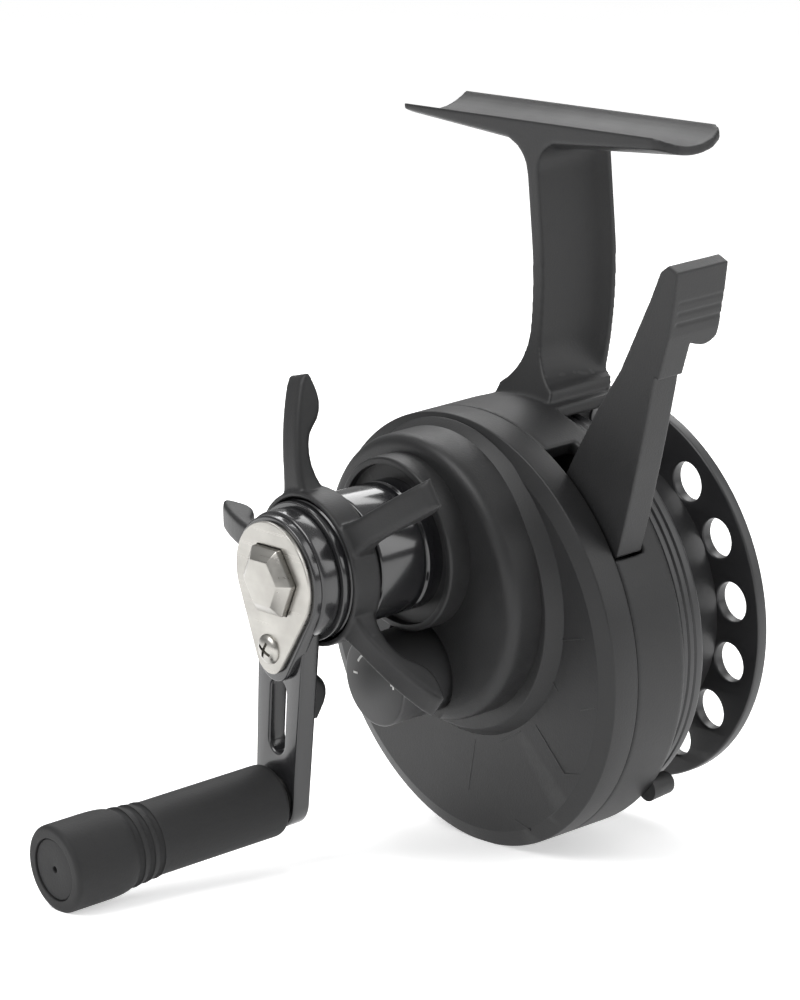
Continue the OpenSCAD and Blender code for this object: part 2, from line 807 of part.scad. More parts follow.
module clutch_tube() {
    color("silver") in_row_frame() ring_y(tube_r, drive_shaft_r, tube_front, stack_front, 0, drive_z);
}

// Two dished washers, set face to face
module spring_washers() {
    outer = 7.5;
    dish = 0.2;
    color("silver") in_row_frame() lathe_y(0, drive_z) {
        for (side = [0, 1]) translate([0, tube_front - spring_t]) mirror([0, side]) polygon([
            [drive_shaft_r, spring_t - dish], [drive_shaft_r, spring_t], [outer, spring_t - dish - 0.1],
            [outer, 0]
        ]);
    }
}

// One arm of the star: a curved finger, drawn by its radius and y
module star_arm() {
    arm_w = 4.4;
    root = star_hub_r - 1.5;
    heel = [star_r - 2.2, 10.2];
    front = bend([root, 0.2], [star_r * 0.72, 0], [star_r - 1, 3.6]);
    tip = bend([star_r, 5.6], [star_r + 0.3, 9], heel, 5);
    back = bend(heel, [star_r * 0.66, 4.4], [root + 1.1, 8.8]);
    translate([0, star_front, drive_z - arm_w / 2]) linear_extrude(arm_w)
        polygon(concat(front, tip, back, [[root, 4.8]]));
}

module star_drag() {
    first = 31;
    color("dimgray") in_row_frame() difference() {
        union() {
            rod_y(star_hub_r, star_front, star_back, 0, drive_z);
            for (k = [0:star_arms - 1])
                translate([0, 0, drive_z]) rotate([0, -first - 360 / star_arms * k, 0])
                    translate([0, 0, -drive_z]) star_arm();
        }
        rod_y(drive_shaft_r + running_fit, star_front - 1, star_back + 1, 0, drive_z);
        rod_y(star_hub_r - 0.8, star_front - 1, star_front + 2, 0, drive_z);
        rod_y(sleeve_r + pass_gap, star_back, sleeve_front + 10, 0, drive_z);
    }
}

module handle_spacer() {
    color("black") in_row_frame() keyed_ring(star_hub_r - 1.2, crank_back, star_front + 1.7);
}

// Places a shape drawn with the crank straight down about the drive axis
module on_crank() {
    translate([0, 0, drive_z]) rotate([0, crank_lean, 0]) children();
}

module handle_arm() {
    slot_half = 1.8;
    slot_top = -18.5;
    slot_low = -crank_length + 9.4;
    color("black") in_row_frame() on_crank() difference() {
        union() {
            rod_y(head_r, crank_front, crank_back);
            translate([0, 0, -6]) tapered_plate(5.4, eye_r, crank_length - 6, crank_front, crank_back);
            tapered_plate(head_r, 4, screw_reach + 1.3, head_front, crank_front + hair);
        }
        rotate([0, -crank_lean, 0]) along_y(head_front - 1, crank_back + 1) double_d(drive_shaft_r);
        for (z = [slot_top, slot_low]) rod_y(slot_half, crank_front - 2, crank_back + 1, 0, z);
        translate([-slot_half, crank_front - 2, slot_low])
            cube([2 * slot_half, crank_t + 3, slot_top - slot_low]);
        rod_y(1.1, head_front - 1, crank_back + 1, 0, -screw_reach);
        rod_y(spindle_r, crank_front - 1, crank_back + 1, 0, -crank_length);
    }
}

module handle_nut() {
    across = nut_af / sqrt(3);
    color("silver") in_row_frame() difference() {
        intersection() {
            translate([0, 0, drive_z]) along_y(nut_front, head_front) circle(across, $fn = 6);
            lathe_y(0, drive_z) polygon([[0, head_front], [across + 1, head_front],
                [across + 1, head_front - 1.3], [across - 2, nut_front], [0, nut_front]]);
        }
        rod_y(thread_r, nut_front - 1, head_front + 1, 0, drive_z);
    }
}

module nut_retainer() {
    color("silver") in_row_frame() on_crank() difference() {
        union() tapered_plate(head_r - 0.9, 3.4, screw_reach + 0.6, plate_front, head_front);
        along_y(plate_front - 1, head_front + 1) rotate([0, 0, crank_lean])
            circle(nut_af / sqrt(3) + 0.1, $fn = 6);
        rod_y(1.2, plate_front - 1, head_front + 1, 0, -screw_reach);
    }
}

module retainer_screw() {
    head = 2.3;
    color("silver") in_row_frame() on_crank() translate([0, 0, -screw_reach]) difference() {
        union() {
            lathe_y(0, 0) polygon([[0, plate_front], [head, plate_front], [head, plate_front - 0.4],
                [head - 0.8, plate_front - 1.1], [0, plate_front - 1.1]]);
            rod_y(1.1, plate_front - 0.5, crank_back - 0.2);
        }
        translate([-0.25, plate_front - 2, -1.4]) cube([0.5, 1.5, 2.8]);
        translate([-1.4, plate_front - 2, -0.25]) cube([2.8, 1.5, 0.5]);
    }
}

// ---- Knob ----

module knob_spindle() {
    color("silver") in_row_frame() difference() {
        union() {
            rod_y(spindle_r, knob_front + 5.6, crank_back + 0.1, knob_x, knob_z);
            rod_y(spindle_r + 0.7, crank_back, crank_back + 0.6, knob_x, knob_z);
            rod_y(3.6, crank_front - 0.6, crank_front, knob_x, knob_z);
        }
        rod_y(0.9, knob_front, knob_front + 12, knob_x, knob_z);
    }
}

module knob_bushes() {
    color("goldenrod") in_row_frame() {
        ring_y(bush_r, spindle_r + running_fit, knob_back - 4.4, knob_back - 0.4, knob_x, knob_z);
        ring_y(bush_r, spindle_r + running_fit, knob_front + 6, knob_front + 10, knob_x, knob_z);
    }
}

module knob_grip() {
    groove = 0.45;
    groove_pitch = 1.9;
    waist = knob_front + knob_length * 0.31;
    inner_r = knob_r - 1;
    cap_r = knob_r - 1.9;
    color("dimgray") in_row_frame() lathe_y(knob_x, knob_z) polygon(concat(
        [[bush_r, knob_back]],
        arc(inner_r - 1, knob_back - 1, 1, 90, 0, 4),
        [[inner_r, waist + 4.6]],
        [for (k = [0:2]) for (s = [1, 0, -1])
            [inner_r + 0.25 - (s == 0 ? groove : 0), waist + 3.2 - k * groove_pitch + s * 0.55]],
        [[knob_r, waist - 3.4], [knob_r, knob_front + 1.6]],
        arc(knob_r - 1.6, knob_front + 1.6, 1.6, 0, -80, 5),
        [[cap_r, knob_front + 0.1], [cap_r, knob_front + 1.2], [bush_r + 0.4, knob_front + 1.2],
         [bush_r + 0.4, knob_front + 6], [bush_r, knob_front + 6]]
    ));
}

module knob_screw() {
    color("silver") in_row_frame() {
        rod_y(2.7, knob_front + 4.2, knob_front + 5.6, knob_x, knob_z);
        rod_y(0.9, knob_front + 5.4, knob_front + 11.6, knob_x, knob_z);
    }
}

module knob_cap() {
    cap_r = knob_r - 1.9;
    color("black") in_row_frame() difference() {
        union() {
            rod_y(cap_r - 0.05, knob_front + 0.2, knob_front + 1.2, knob_x, knob_z);
            rod_y(bush_r + 0.3, knob_front + 0.9, knob_front + 2.4, knob_x, knob_z);
        }
        rod_y(0.5, knob_front - 1, knob_front + 1.4, knob_x, knob_z);
    }
}

frame();
side_cover();
cover_screws();
bearing_sleeve();
drive_bearing();
oneway_clutch();
drive_bush();
pinion_bearing();
shaft_bearing();
tension_plate();
dial_oring();
power_dial();
yoke_posts();
yoke_springs();
clutch_yoke();
pinion_gear();
line_keeper();
trigger_lever();
trigger_pin();
trigger_spring();
spool();
spool_shaft();
cross_pin();
spool_nut();
drive_shaft();
drive_gear();
friction_washers();
keyed_washers();
clutch_tube();
spring_washers();
star_drag();
handle_spacer();
handle_arm();
handle_nut();
nut_retainer();
retainer_screw();
knob_spindle();
knob_bushes();
knob_grip();
knob_screw();
knob_cap();
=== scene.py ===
# %% [markdown]
# An inline ice fishing reel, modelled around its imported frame. The frame gives every position and
# every joint, and this lesson gives the surfaces: mouldings with soft edges, turned parts, bent
# metal, and the finishes. The whole file works in millimetres about the spool's axis, because a
# reel is drawn that way, and one function moves a point into the frame.

# %% load the frame
import json
from math import acos, cos, hypot, pi, radians, sin, sqrt, tan

import bmesh
import bpy
from mathutils import Matrix, Vector

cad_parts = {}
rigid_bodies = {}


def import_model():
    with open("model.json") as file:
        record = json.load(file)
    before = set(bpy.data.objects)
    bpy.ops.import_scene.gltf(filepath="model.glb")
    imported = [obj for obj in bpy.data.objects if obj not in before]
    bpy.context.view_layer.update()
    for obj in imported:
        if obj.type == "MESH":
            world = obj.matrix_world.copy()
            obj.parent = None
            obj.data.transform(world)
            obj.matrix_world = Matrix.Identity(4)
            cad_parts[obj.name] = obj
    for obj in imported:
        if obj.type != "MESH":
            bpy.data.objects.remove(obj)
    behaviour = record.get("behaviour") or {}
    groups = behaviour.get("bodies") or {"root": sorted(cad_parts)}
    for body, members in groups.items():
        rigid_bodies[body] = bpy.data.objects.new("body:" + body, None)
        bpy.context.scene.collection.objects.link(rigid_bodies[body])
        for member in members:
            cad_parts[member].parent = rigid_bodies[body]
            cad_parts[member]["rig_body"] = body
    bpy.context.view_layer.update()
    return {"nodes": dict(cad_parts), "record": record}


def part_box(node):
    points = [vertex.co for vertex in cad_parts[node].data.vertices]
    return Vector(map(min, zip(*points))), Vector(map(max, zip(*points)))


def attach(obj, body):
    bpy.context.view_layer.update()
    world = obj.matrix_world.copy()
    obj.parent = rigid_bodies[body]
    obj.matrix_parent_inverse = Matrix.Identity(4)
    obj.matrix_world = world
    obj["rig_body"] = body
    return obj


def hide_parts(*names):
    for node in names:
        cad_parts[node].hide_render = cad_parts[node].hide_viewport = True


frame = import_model()
print("CAD nodes:", len(frame["nodes"]))

# %% [markdown]
# The spool's axis runs along Y. Its place comes from the box of the spool, and the seam between
# ring and cover is the front of the frame's ring. Sizes that several pieces share are read from
# the boxes too, so the surfaces stay on the solids if the model changes.

# %% shared sizes
MM = 0.001
frame_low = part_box("frame")[0]
spool_low, spool_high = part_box("spool")
axis_x = (spool_low.x + spool_high.x) / 2
axis_z = (spool_low.z + spool_high.z) / 2
seam_y = frame_low.y
housing_r = (axis_z - frame_low.z) / MM
flange_r = (spool_high.x - spool_low.x) / 2 / MM
spool_end = (spool_high.y - seam_y) / MM


def place(x, y, z):
    return Vector((axis_x + x * MM, seam_y + y * MM, axis_z + z * MM))


def span(node):
    """The lowest and highest corners of a CAD node, in millimetres about the spool's axis."""
    low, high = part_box(node)
    origin = Vector((axis_x, seam_y, axis_z))
    return (low - origin) / MM, (high - origin) / MM


sleeve_low, sleeve_high = span("bearing_sleeve")
drive_z = (sleeve_low.z + sleeve_high.z) / 2
print("housing", round(housing_r, 2), "flange", round(flange_r, 2), "drive axis", round(drive_z, 2))


# %% [markdown]
# An outline with sharp corners looks like card. Every real edge has a small round, so this helper
# replaces each corner of a 2-D outline with an arc. A corner can have its own radius, and the
# arc never uses more than its share of the two sides that meet there.

# %% outlines with rounded corners
def rounded(points, radius, steps=4, closed=True):
    """points with each corner turned into an arc; radius is one number or one for each corner."""
    out = []
    count = len(points)
    for i, here in enumerate(points):
        r = radius[i] if isinstance(radius, (list, tuple)) else radius
        if r <= 0 or (not closed and i in (0, count - 1)):
            out.append(tuple(here))
            continue
        corner = Vector(here)
        before = Vector(points[i - 1]) - corner
        after = Vector(points[(i + 1) % count]) - corner
        if before.length < 1e-6 or after.length < 1e-6:
            out.append(tuple(here))
            continue
        angle = before.angle(after)
        if angle > pi - 0.05:
            out.append(tuple(here))
            continue
        reach = min(r / tan(angle / 2), 0.48 * before.length, 0.48 * after.length)
        start = corner + before.normalized() * reach
        end = corner + after.normalized() * reach
        for k in range(steps + 1):
            t = k / steps
            point = start * (1 - t) ** 2 + corner * 2 * t * (1 - t) + end * t * t
            out.append(tuple(point))
    return out


def ring_points(r, count=64, x=0.0, z=0.0, start=0.0):
    return [
        (x + r * cos(start + 2 * pi * k / count), z + r * sin(start + 2 * pi * k / count))
        for k in range(count)
    ]


def bend(a, b, c, steps=8):
    """Points on the curve from a to c that leaves and arrives along the lines to b."""
    points = []
    for k in range(steps + 1):
        t = k / steps
        points.append(tuple(
            pa * (1 - t) ** 2 + pb * 2 * t * (1 - t) + pc * t * t for pa, pb, pc in zip(a, b, c)
        ))
    return points


def polar(r, degrees, x=0.0, z=0.0):
    return (x + r * cos(radians(degrees)), z + r * sin(radians(degrees)))


def across(points, i, width):
    """Half of width, square to a line of (x, z) at its point i."""
    ax, az = points[max(i - 1, 0)]
    bx, bz = points[min(i + 1, len(points) - 1)]
    length = hypot(bx - ax, bz - az)
    return -(bz - az) / length * width / 2, (bx - ax) / length * width / 2


print("a rounded square has", len(rounded([(0, 0), (1, 0), (1, 1), (0, 1)], 0.2)), "points")

# %% [markdown]
# Three ways of making a solid cover nearly every piece of a reel. A turned piece is a profile of
# radius and depth swept round an axis, as on a lathe. A plate is an outline with holes, cut from
# sheet and broken along its edges; a filled 2-D curve does this well because its bevel follows
# every hole. A skin is a row of matching loops joined up, for anything that tapers or twists.

# %% turned pieces, plates and skins
def shaded(mesh, sharp):
    """Smooth shading that stays sharp over edges of more than sharp degrees."""
    mesh.polygons.foreach_set("use_smooth", [True] * len(mesh.polygons))
    mesh.set_sharp_from_angle(angle=radians(sharp))


def finish_mesh(name, bm, sharp=38.0):
    bmesh.ops.remove_doubles(bm, verts=bm.verts, dist=1e-7)
    bmesh.ops.recalc_face_normals(bm, faces=bm.faces)
    mesh = bpy.data.meshes.new(name)
    bm.to_mesh(mesh)
    bm.free()
    shaded(mesh, sharp)
    piece = bpy.data.objects.new(name, mesh)
    bpy.context.scene.collection.objects.link(piece)
    return piece


def turned(name, profile, x=0.0, z=0.0, steps=128, sharp=38.0):
    """A profile of (radius, y) turned about the line along Y through x, z."""
    bm = bmesh.new()
    columns = []
    for k in range(steps):
        a = 2 * pi * k / steps
        columns.append([
            bm.verts.new(place(x + r * cos(a), y, z + r * sin(a))) for r, y in profile
        ])
    on_axis = profile[0][0] == 0 and profile[-1][0] == 0
    last = len(profile) - 1 if on_axis else len(profile)
    for k in range(steps):
        left, right = columns[k], columns[(k + 1) % steps]
        for j in range(last):
            n = (j + 1) % len(profile)
            corners = [left[j], left[n], right[n], right[j]]
            if profile[j][0] == 0:
                corners = [left[j], left[n], right[n]]
            elif profile[n][0] == 0:
                corners = [left[j], left[n], right[j]]
            bm.faces.new(corners)
    return finish_mesh(name, bm, sharp)


def skin(name, loops, sharp=38.0):
    """Matching closed loops of (x, y, z) joined into one closed solid."""
    bm = bmesh.new()
    rows = [[bm.verts.new(place(*p)) for p in loop] for loop in loops]
    for low, high in zip(rows, rows[1:]):
        for j in range(len(low)):
            n = (j + 1) % len(low)
            bm.faces.new([low[j], low[n], high[n], high[j]])
    bm.faces.new(rows[0][::-1])
    bm.faces.new(rows[-1])
    return finish_mesh(name, bm, sharp)


def plate(name, outline, y0, y1, edge=0.3, holes=(), sharp=38.0):
    """An outline of (x, z) with holes, from y0 to y1, with its edges rounded by edge."""
    curve = bpy.data.curves.new(name, "CURVE")
    curve.dimensions = "2D"
    curve.fill_mode = "BOTH"
    curve.extrude = (y1 - y0) / 2 - edge
    curve.bevel_depth = edge
    curve.bevel_resolution = 3
    curve.offset = -edge
    for loop in [outline, *holes]:
        line = curve.splines.new("POLY")
        line.points.add(len(loop) - 1)
        for point, (x, z) in zip(line.points, loop):
            point.co = (x, z, 0, 1)
        line.use_cyclic_u = True
    source = bpy.data.objects.new(name, curve)
    mesh = bpy.data.meshes.new_from_object(source)
    bpy.data.objects.remove(source)
    bm = bmesh.new()
    bm.from_mesh(mesh)
    for v in bm.verts:
        v.co = place(v.co.x, (y0 + y1) / 2 - v.co.z, v.co.y)
    return finish_mesh(name, bm, sharp)


# %% [markdown]
# Pieces are then combined. Joining puts shells together that simply run into each other. Carving
# cuts one solid with others. Melting is for mouldings: the shells are remeshed as one skin of
# even small squares and smoothed, so that every edge gets a soft round and every inside corner
# gets a fillet, which is what a mould gives.

# %% join, carve and melt
def baked(piece):
    """Replaces a piece's mesh with what its modifiers make."""
    bpy.context.view_layer.update()
    graph = bpy.context.evaluated_depsgraph_get()
    mesh = bpy.data.meshes.new_from_object(piece.evaluated_get(graph))
    piece.modifiers.clear()
    piece.data = mesh
    return piece


def joined(name, pieces):
    bm = bmesh.new()
    for piece in pieces:
        bm.from_mesh(piece.data)
        bpy.data.objects.remove(piece)
    mesh = bpy.data.meshes.new(name)
    bm.to_mesh(mesh)
    bm.free()
    whole = bpy.data.objects.new(name, mesh)
    bpy.context.scene.collection.objects.link(whole)
    return whole


def carved(piece, cutters, sharp=38.0):
    for cutter in cutters:
        cut = piece.modifiers.new("cut", "BOOLEAN")
        cut.operation = "DIFFERENCE"
        cut.solver = "EXACT"
        cut.object = cutter
    baked(piece)
    for cutter in cutters:
        bpy.data.objects.remove(cutter)
    shaded(piece.data, sharp)
    return piece


def fused(piece, others):
    for other in others:
        add = piece.modifiers.new("add", "BOOLEAN")
        add.operation = "UNION"
        add.solver = "EXACT"
        add.object = other
    baked(piece)
    for other in others:
        bpy.data.objects.remove(other)
    return piece


def melted(piece, square, rounds=4):
    remesh = piece.modifiers.new("remesh", "REMESH")
    remesh.mode = "VOXEL"
    remesh.voxel_size = square * MM
    remesh.use_smooth_shade = True
    soften = piece.modifiers.new("soften", "SMOOTH")
    soften.factor = 0.5
    soften.iterations = rounds
    baked(piece)
    piece.data.polygons.foreach_set("use_smooth", [True] * len(piece.data.polygons))
    return piece


melt_square = 0.26
print("remesh squares of", melt_square, "mm")

# %% [markdown]
# The finishes come next. Effects that several finishes share are node groups with named inputs.
# The first is grain: the fine sparkle of a mould that was spark eroded or blasted. It puts out a
# height for the bump, and a slow cloud that stops large areas from looking like one flat colour.

# %% grain group
def new_group(name, inputs, outputs):
    group = bpy.data.node_groups.new(name, "ShaderNodeTree")
    for label, value in inputs:
        socket = group.interface.new_socket(label, in_out="INPUT", socket_type="NodeSocketFloat")
        socket.default_value = value
    for label, kind in outputs:
        group.interface.new_socket(label, in_out="OUTPUT", socket_type=kind)
    return group, group.nodes.new("NodeGroupInput"), group.nodes.new("NodeGroupOutput")


def noise(tree, scale, detail=2.0, roughness=0.5):
    node = tree.nodes.new("ShaderNodeTexNoise")
    node.inputs["Scale"].default_value = scale
    node.inputs["Detail"].default_value = detail
    node.inputs["Roughness"].default_value = roughness
    return node


def math_node(tree, operation, a=None, b=None):
    node = tree.nodes.new("ShaderNodeMath")
    node.operation = operation
    for socket, value in zip(node.inputs, (a, b)):
        if isinstance(value, (int, float)):
            socket.default_value = value
        elif value is not None:
            tree.links.new(value, socket)
    return node.outputs[0]


def build_grain_group():
    group, given, result = new_group(
        "grain", [("Grain Scale", 2600.0), ("Cloud Scale", 45.0)],
        [("Height", "NodeSocketFloat"), ("Cloud", "NodeSocketFloat")],
    )
    where = group.nodes.new("ShaderNodeTexCoord")
    fine = noise(group, 2600, 3.0, 0.6)
    cloud = noise(group, 45, 3.0, 0.55)
    for node, label in ((fine, "Grain Scale"), (cloud, "Cloud Scale")):
        group.links.new(where.outputs["Object"], node.inputs["Vector"])
        group.links.new(given.outputs[label], node.inputs["Scale"])
    group.links.new(fine.outputs["Fac"], result.inputs["Height"])
    group.links.new(cloud.outputs["Fac"], result.inputs["Cloud"])
    return group


grain_group = build_grain_group()
print("grain group sockets:", len(grain_group.interface.items_tree))

# %% [markdown]
# Handling polishes the high edges of black plastic and rubs the black off painted metal. The wear
# group finds convex edges from how the surface bends, breaks them up with a noise so that the
# wear isn't even, and puts out a mask between 0 and 1.

# %% wear group
def build_wear_group():
    group, given, result = new_group(
        "wear", [("Amount", 0.5), ("Patch Scale", 400.0)], [("Mask", "NodeSocketFloat")]
    )
    surface = group.nodes.new("ShaderNodeNewGeometry")
    where = group.nodes.new("ShaderNodeTexCoord")
    patches = noise(group, 400, 4.0, 0.6)
    group.links.new(where.outputs["Object"], patches.inputs["Vector"])
    group.links.new(given.outputs["Patch Scale"], patches.inputs["Scale"])
    edge = group.nodes.new("ShaderNodeMapRange")
    edge.inputs["From Min"].default_value = 0.52
    edge.inputs["From Max"].default_value = 0.62
    group.links.new(surface.outputs["Pointiness"], edge.inputs["Value"])
    broken = math_node(group, "MULTIPLY", edge.outputs["Result"], patches.outputs["Fac"])
    scaled = math_node(group, "MULTIPLY", broken, given.outputs["Amount"])
    group.links.new(scaled, result.inputs["Mask"])
    return group


wear_group = build_wear_group()
print("wear group sockets:", len(wear_group.interface.items_tree))

# %% [markdown]
# Metal is never one even tone. Rolled and polished steel has fine lines along one direction,
# which is a noise stretched a great deal along that direction. The group puts out the lines for
# the roughness and the bump.

# %% brushed group
def build_brushed_group():
    group, given, result = new_group(
        "brushed", [("Line Scale", 1800.0), ("Stretch", 0.03)], [("Lines", "NodeSocketFloat")]
    )
    where = group.nodes.new("ShaderNodeTexCoord")
    stretch = group.nodes.new("ShaderNodeVectorMath")
    stretch.operation = "MULTIPLY"
    scale = group.nodes.new("ShaderNodeCombineXYZ")
    group.links.new(given.outputs["Stretch"], scale.inputs["X"])
    scale.inputs["Y"].default_value = 1
    scale.inputs["Z"].default_value = 1
    group.links.new(where.outputs["Object"], stretch.inputs[0])
    group.links.new(scale.outputs["Vector"], stretch.inputs[1])
    lines = noise(group, 1800, 2.0, 0.6)
    group.links.new(stretch.outputs["Vector"], lines.inputs["Vector"])
    group.links.new(given.outputs["Line Scale"], lines.inputs["Scale"])
    group.links.new(lines.outputs["Fac"], result.inputs["Lines"])
    return group


brushed_group = build_brushed_group()
print("brushed group sockets:", len(brushed_group.interface.items_tree))

# %% [markdown]
# Plastics, rubber and black coated metal share one recipe: a dark base that the cloud and the
# wear lighten a little, a roughness that varies with the cloud, and the grain as a bump. The
# numbers are what tells them apart, so one function takes them and each finish gets its own.

# %% dark finishes
def group_node(tree, group, **values):
    node = tree.nodes.new("ShaderNodeGroup")
    node.node_tree = group
    for label, value in values.items():
        node.inputs[label.replace("_", " ")].default_value = value
    return node


def blended(tree, factor, first, second):
    """A colour between first and second, by factor."""
    node = tree.nodes.new("ShaderNodeMix")
    node.data_type = "RGBA"
    tree.links.new(factor, node.inputs["Factor"])
    for socket, value in ((node.inputs[6], first), (node.inputs[7], second)):
        if isinstance(value, tuple):
            socket.default_value = (*value, 1)
        else:
            tree.links.new(value, socket)
    return node.outputs[2]


def ranged(tree, value, low, high):
    """value from 0.3..0.7 spread over low..high."""
    node = tree.nodes.new("ShaderNodeMapRange")
    node.inputs["From Min"].default_value = 0.3
    node.inputs["From Max"].default_value = 0.7
    node.inputs["To Min"].default_value = low
    node.inputs["To Max"].default_value = high
    tree.links.new(value, node.inputs["Value"])
    return node.outputs["Result"]


def blank_material(name):
    material = bpy.data.materials.new(name)
    material.use_nodes = True
    tree = material.node_tree
    shader = tree.nodes["Principled BSDF"]
    return material, tree, shader


def dark_finish(name, dark, light, worn, rough, grain_scale, grain_height, wear,
                coat=0.0, shine=0.5):
    material, tree, shader = blank_material(name)
    grain = group_node(tree, grain_group, Grain_Scale=grain_scale, Cloud_Scale=60.0)
    rub = group_node(tree, wear_group, Amount=wear, Patch_Scale=500.0)
    base = blended(tree, ranged(tree, grain.outputs["Cloud"], 0.0, 1.0), dark, light)
    colour = blended(tree, rub.outputs["Mask"], base, worn)
    tree.links.new(colour, shader.inputs["Base Color"])
    roughness = ranged(tree, grain.outputs["Cloud"], rough - 0.04, rough + 0.05)
    tree.links.new(roughness, shader.inputs["Roughness"])
    bump = tree.nodes.new("ShaderNodeBump")
    bump.inputs["Strength"].default_value = 0.6
    bump.inputs["Distance"].default_value = grain_height
    tree.links.new(grain.outputs["Height"], bump.inputs["Height"])
    tree.links.new(bump.outputs["Normal"], shader.inputs["Normal"])
    shader.inputs["Specular IOR Level"].default_value = shine
    shader.inputs["Coat Weight"].default_value = coat
    shader.inputs["Coat Roughness"].default_value = 0.08
    return material


finish = {}
finish["moulded_black"] = dark_finish(
    "moulded_black", (0.009, 0.009, 0.0095), (0.013, 0.013, 0.0135), (0.05, 0.05, 0.05),
    rough=0.48, grain_scale=3200.0, grain_height=0.00005, wear=0.5, shine=0.36,
)
finish["spool_black"] = dark_finish(
    "spool_black", (0.013, 0.013, 0.014), (0.018, 0.018, 0.019), (0.09, 0.09, 0.09),
    rough=0.40, grain_scale=4200.0, grain_height=0.00002, wear=0.4,
)
finish["gloss_black"] = dark_finish(
    "gloss_black", (0.008, 0.008, 0.009), (0.011, 0.011, 0.012), (0.03, 0.03, 0.03),
    rough=0.17, grain_scale=600.0, grain_height=0.000002, wear=0.3, coat=0.5,
)
finish["anodised_black"] = dark_finish(
    "anodised_black", (0.010, 0.010, 0.011), (0.014, 0.014, 0.015), (0.08, 0.08, 0.08),
    rough=0.22, grain_scale=900.0, grain_height=0.000003, wear=0.4, coat=0.35,
)
finish["grip_rubber"] = dark_finish(
    "grip_rubber", (0.014, 0.014, 0.0145), (0.019, 0.019, 0.0195), (0.045, 0.045, 0.045),
    rough=0.62, grain_scale=2200.0, grain_height=0.00006, wear=0.3, shine=0.24,
)
finish["dial_black"] = dark_finish(
    "dial_black", (0.030, 0.030, 0.031), (0.038, 0.038, 0.039), (0.08, 0.08, 0.08),
    rough=0.40, grain_scale=3200.0, grain_height=0.00003, wear=0.5, shine=0.45,
)
finish["rubber"] = dark_finish(
    "rubber", (0.018, 0.018, 0.018), (0.025, 0.025, 0.025), (0.05, 0.05, 0.05),
    rough=0.7, grain_scale=1500.0, grain_height=0.00003, wear=0.2,
)
finish["friction_lining"] = dark_finish(
    "friction_lining", (0.04, 0.038, 0.035), (0.06, 0.057, 0.05), (0.10, 0.09, 0.08),
    rough=0.8, grain_scale=900.0, grain_height=0.00008, wear=0.2,
)
print("dark finishes:", sorted(finish))

# %% [markdown]
# Bare metal takes the brushed lines in its roughness and its bump, and a slow cloud in its
# colour. Metallic stays a plain number on the shader. Polished stainless on the crank's nut is
# smoother than the machined steel and brass inside.

# %% metal finishes
def metal_finish(name, bright, dull, rough_low, rough_high, line_height, stretch=0.03):
    material, tree, shader = blank_material(name)
    lines = group_node(tree, brushed_group, Line_Scale=1500.0, Stretch=stretch)
    grain = group_node(tree, grain_group, Grain_Scale=3000.0, Cloud_Scale=160.0)
    colour = blended(tree, ranged(tree, grain.outputs["Cloud"], 0.0, 1.0), bright, dull)
    tree.links.new(colour, shader.inputs["Base Color"])
    roughness = ranged(tree, lines.outputs["Lines"], rough_low, rough_high)
    tree.links.new(roughness, shader.inputs["Roughness"])
    bump = tree.nodes.new("ShaderNodeBump")
    bump.inputs["Strength"].default_value = 0.4
    bump.inputs["Distance"].default_value = line_height
    tree.links.new(lines.outputs["Lines"], bump.inputs["Height"])
    tree.links.new(bump.outputs["Normal"], shader.inputs["Normal"])
    shader.inputs["Metallic"].default_value = 1.0
    return material


finish["polished_steel"] = metal_finish(
    "polished_steel", (0.40, 0.39, 0.365), (0.32, 0.31, 0.29), 0.26, 0.38, 0.000004
)
finish["steel"] = metal_finish(
    "steel", (0.62, 0.62, 0.62), (0.50, 0.50, 0.50), 0.26, 0.42, 0.000008
)
finish["brass"] = metal_finish(
    "brass", (0.80, 0.62, 0.30), (0.66, 0.49, 0.22), 0.24, 0.40, 0.000008
)
print("all finishes:", len(finish))

# %% [markdown]
# The dial carries white printing. Ink has a slightly uneven body, so it gets the cloud too.

# %% printed ink
def ink_finish():
    material, tree, shader = blank_material("white_ink")
    grain = group_node(tree, grain_group, Grain_Scale=5000.0, Cloud_Scale=900.0)
    colour = blended(tree, ranged(tree, grain.outputs["Cloud"], 0.0, 1.0),
                     (0.78, 0.78, 0.76), (0.62, 0.62, 0.61))
    tree.links.new(colour, shader.inputs["Base Color"])
    tree.links.new(ranged(tree, grain.outputs["Height"], 0.45, 0.6), shader.inputs["Roughness"])
    return material


finish["white_ink"] = ink_finish()

# %% [markdown]
# Every finished piece is put on its body, stands for its CAD node, which it hides, and takes the
# finish of its material slot.
# One call does all three, so that no piece can be left behind when a joint moves.

# %% putting a piece on its body
made = []
body_of_node = {name: node["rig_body"] for name, node in frame["nodes"].items()}
slot_of_node = {part["node"]: part["material_slot"] for part in frame["record"]["subparts"]}


def settle(piece, node, look=None):
    """piece stands for the CAD node, rides on its body and takes the finish of its slot."""
    look = look or slot_of_node[node]
    piece.data.materials.clear()
    piece.data.materials.append(finish[look])
    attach(piece, body_of_node[node])
    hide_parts(node)
    made.append(piece)
    faces = len(piece.data.polygons)
    print(piece.name, "stands for", node, "on", body_of_node[node], "-", faces, "faces")
    return piece


def add_on(piece, node, look):
    """A separate detail that rides with a node's body."""
    piece.data.materials.clear()
    piece.data.materials.append(finish[look])
    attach(piece, body_of_node[node])
    made.append(piece)
    return piece


# %% [markdown]
# The frame is one moulding: the ring that the lever and gears sit in, the hood over the spool,
# the stem, and the foot that the rod lies on. The stem is a thin web that flares into ring and
# foot with big fillets and is wider along its far edge. It could be box modelled, but loops
# stacked along Z follow the two side curves exactly, and melting makes the fillets.

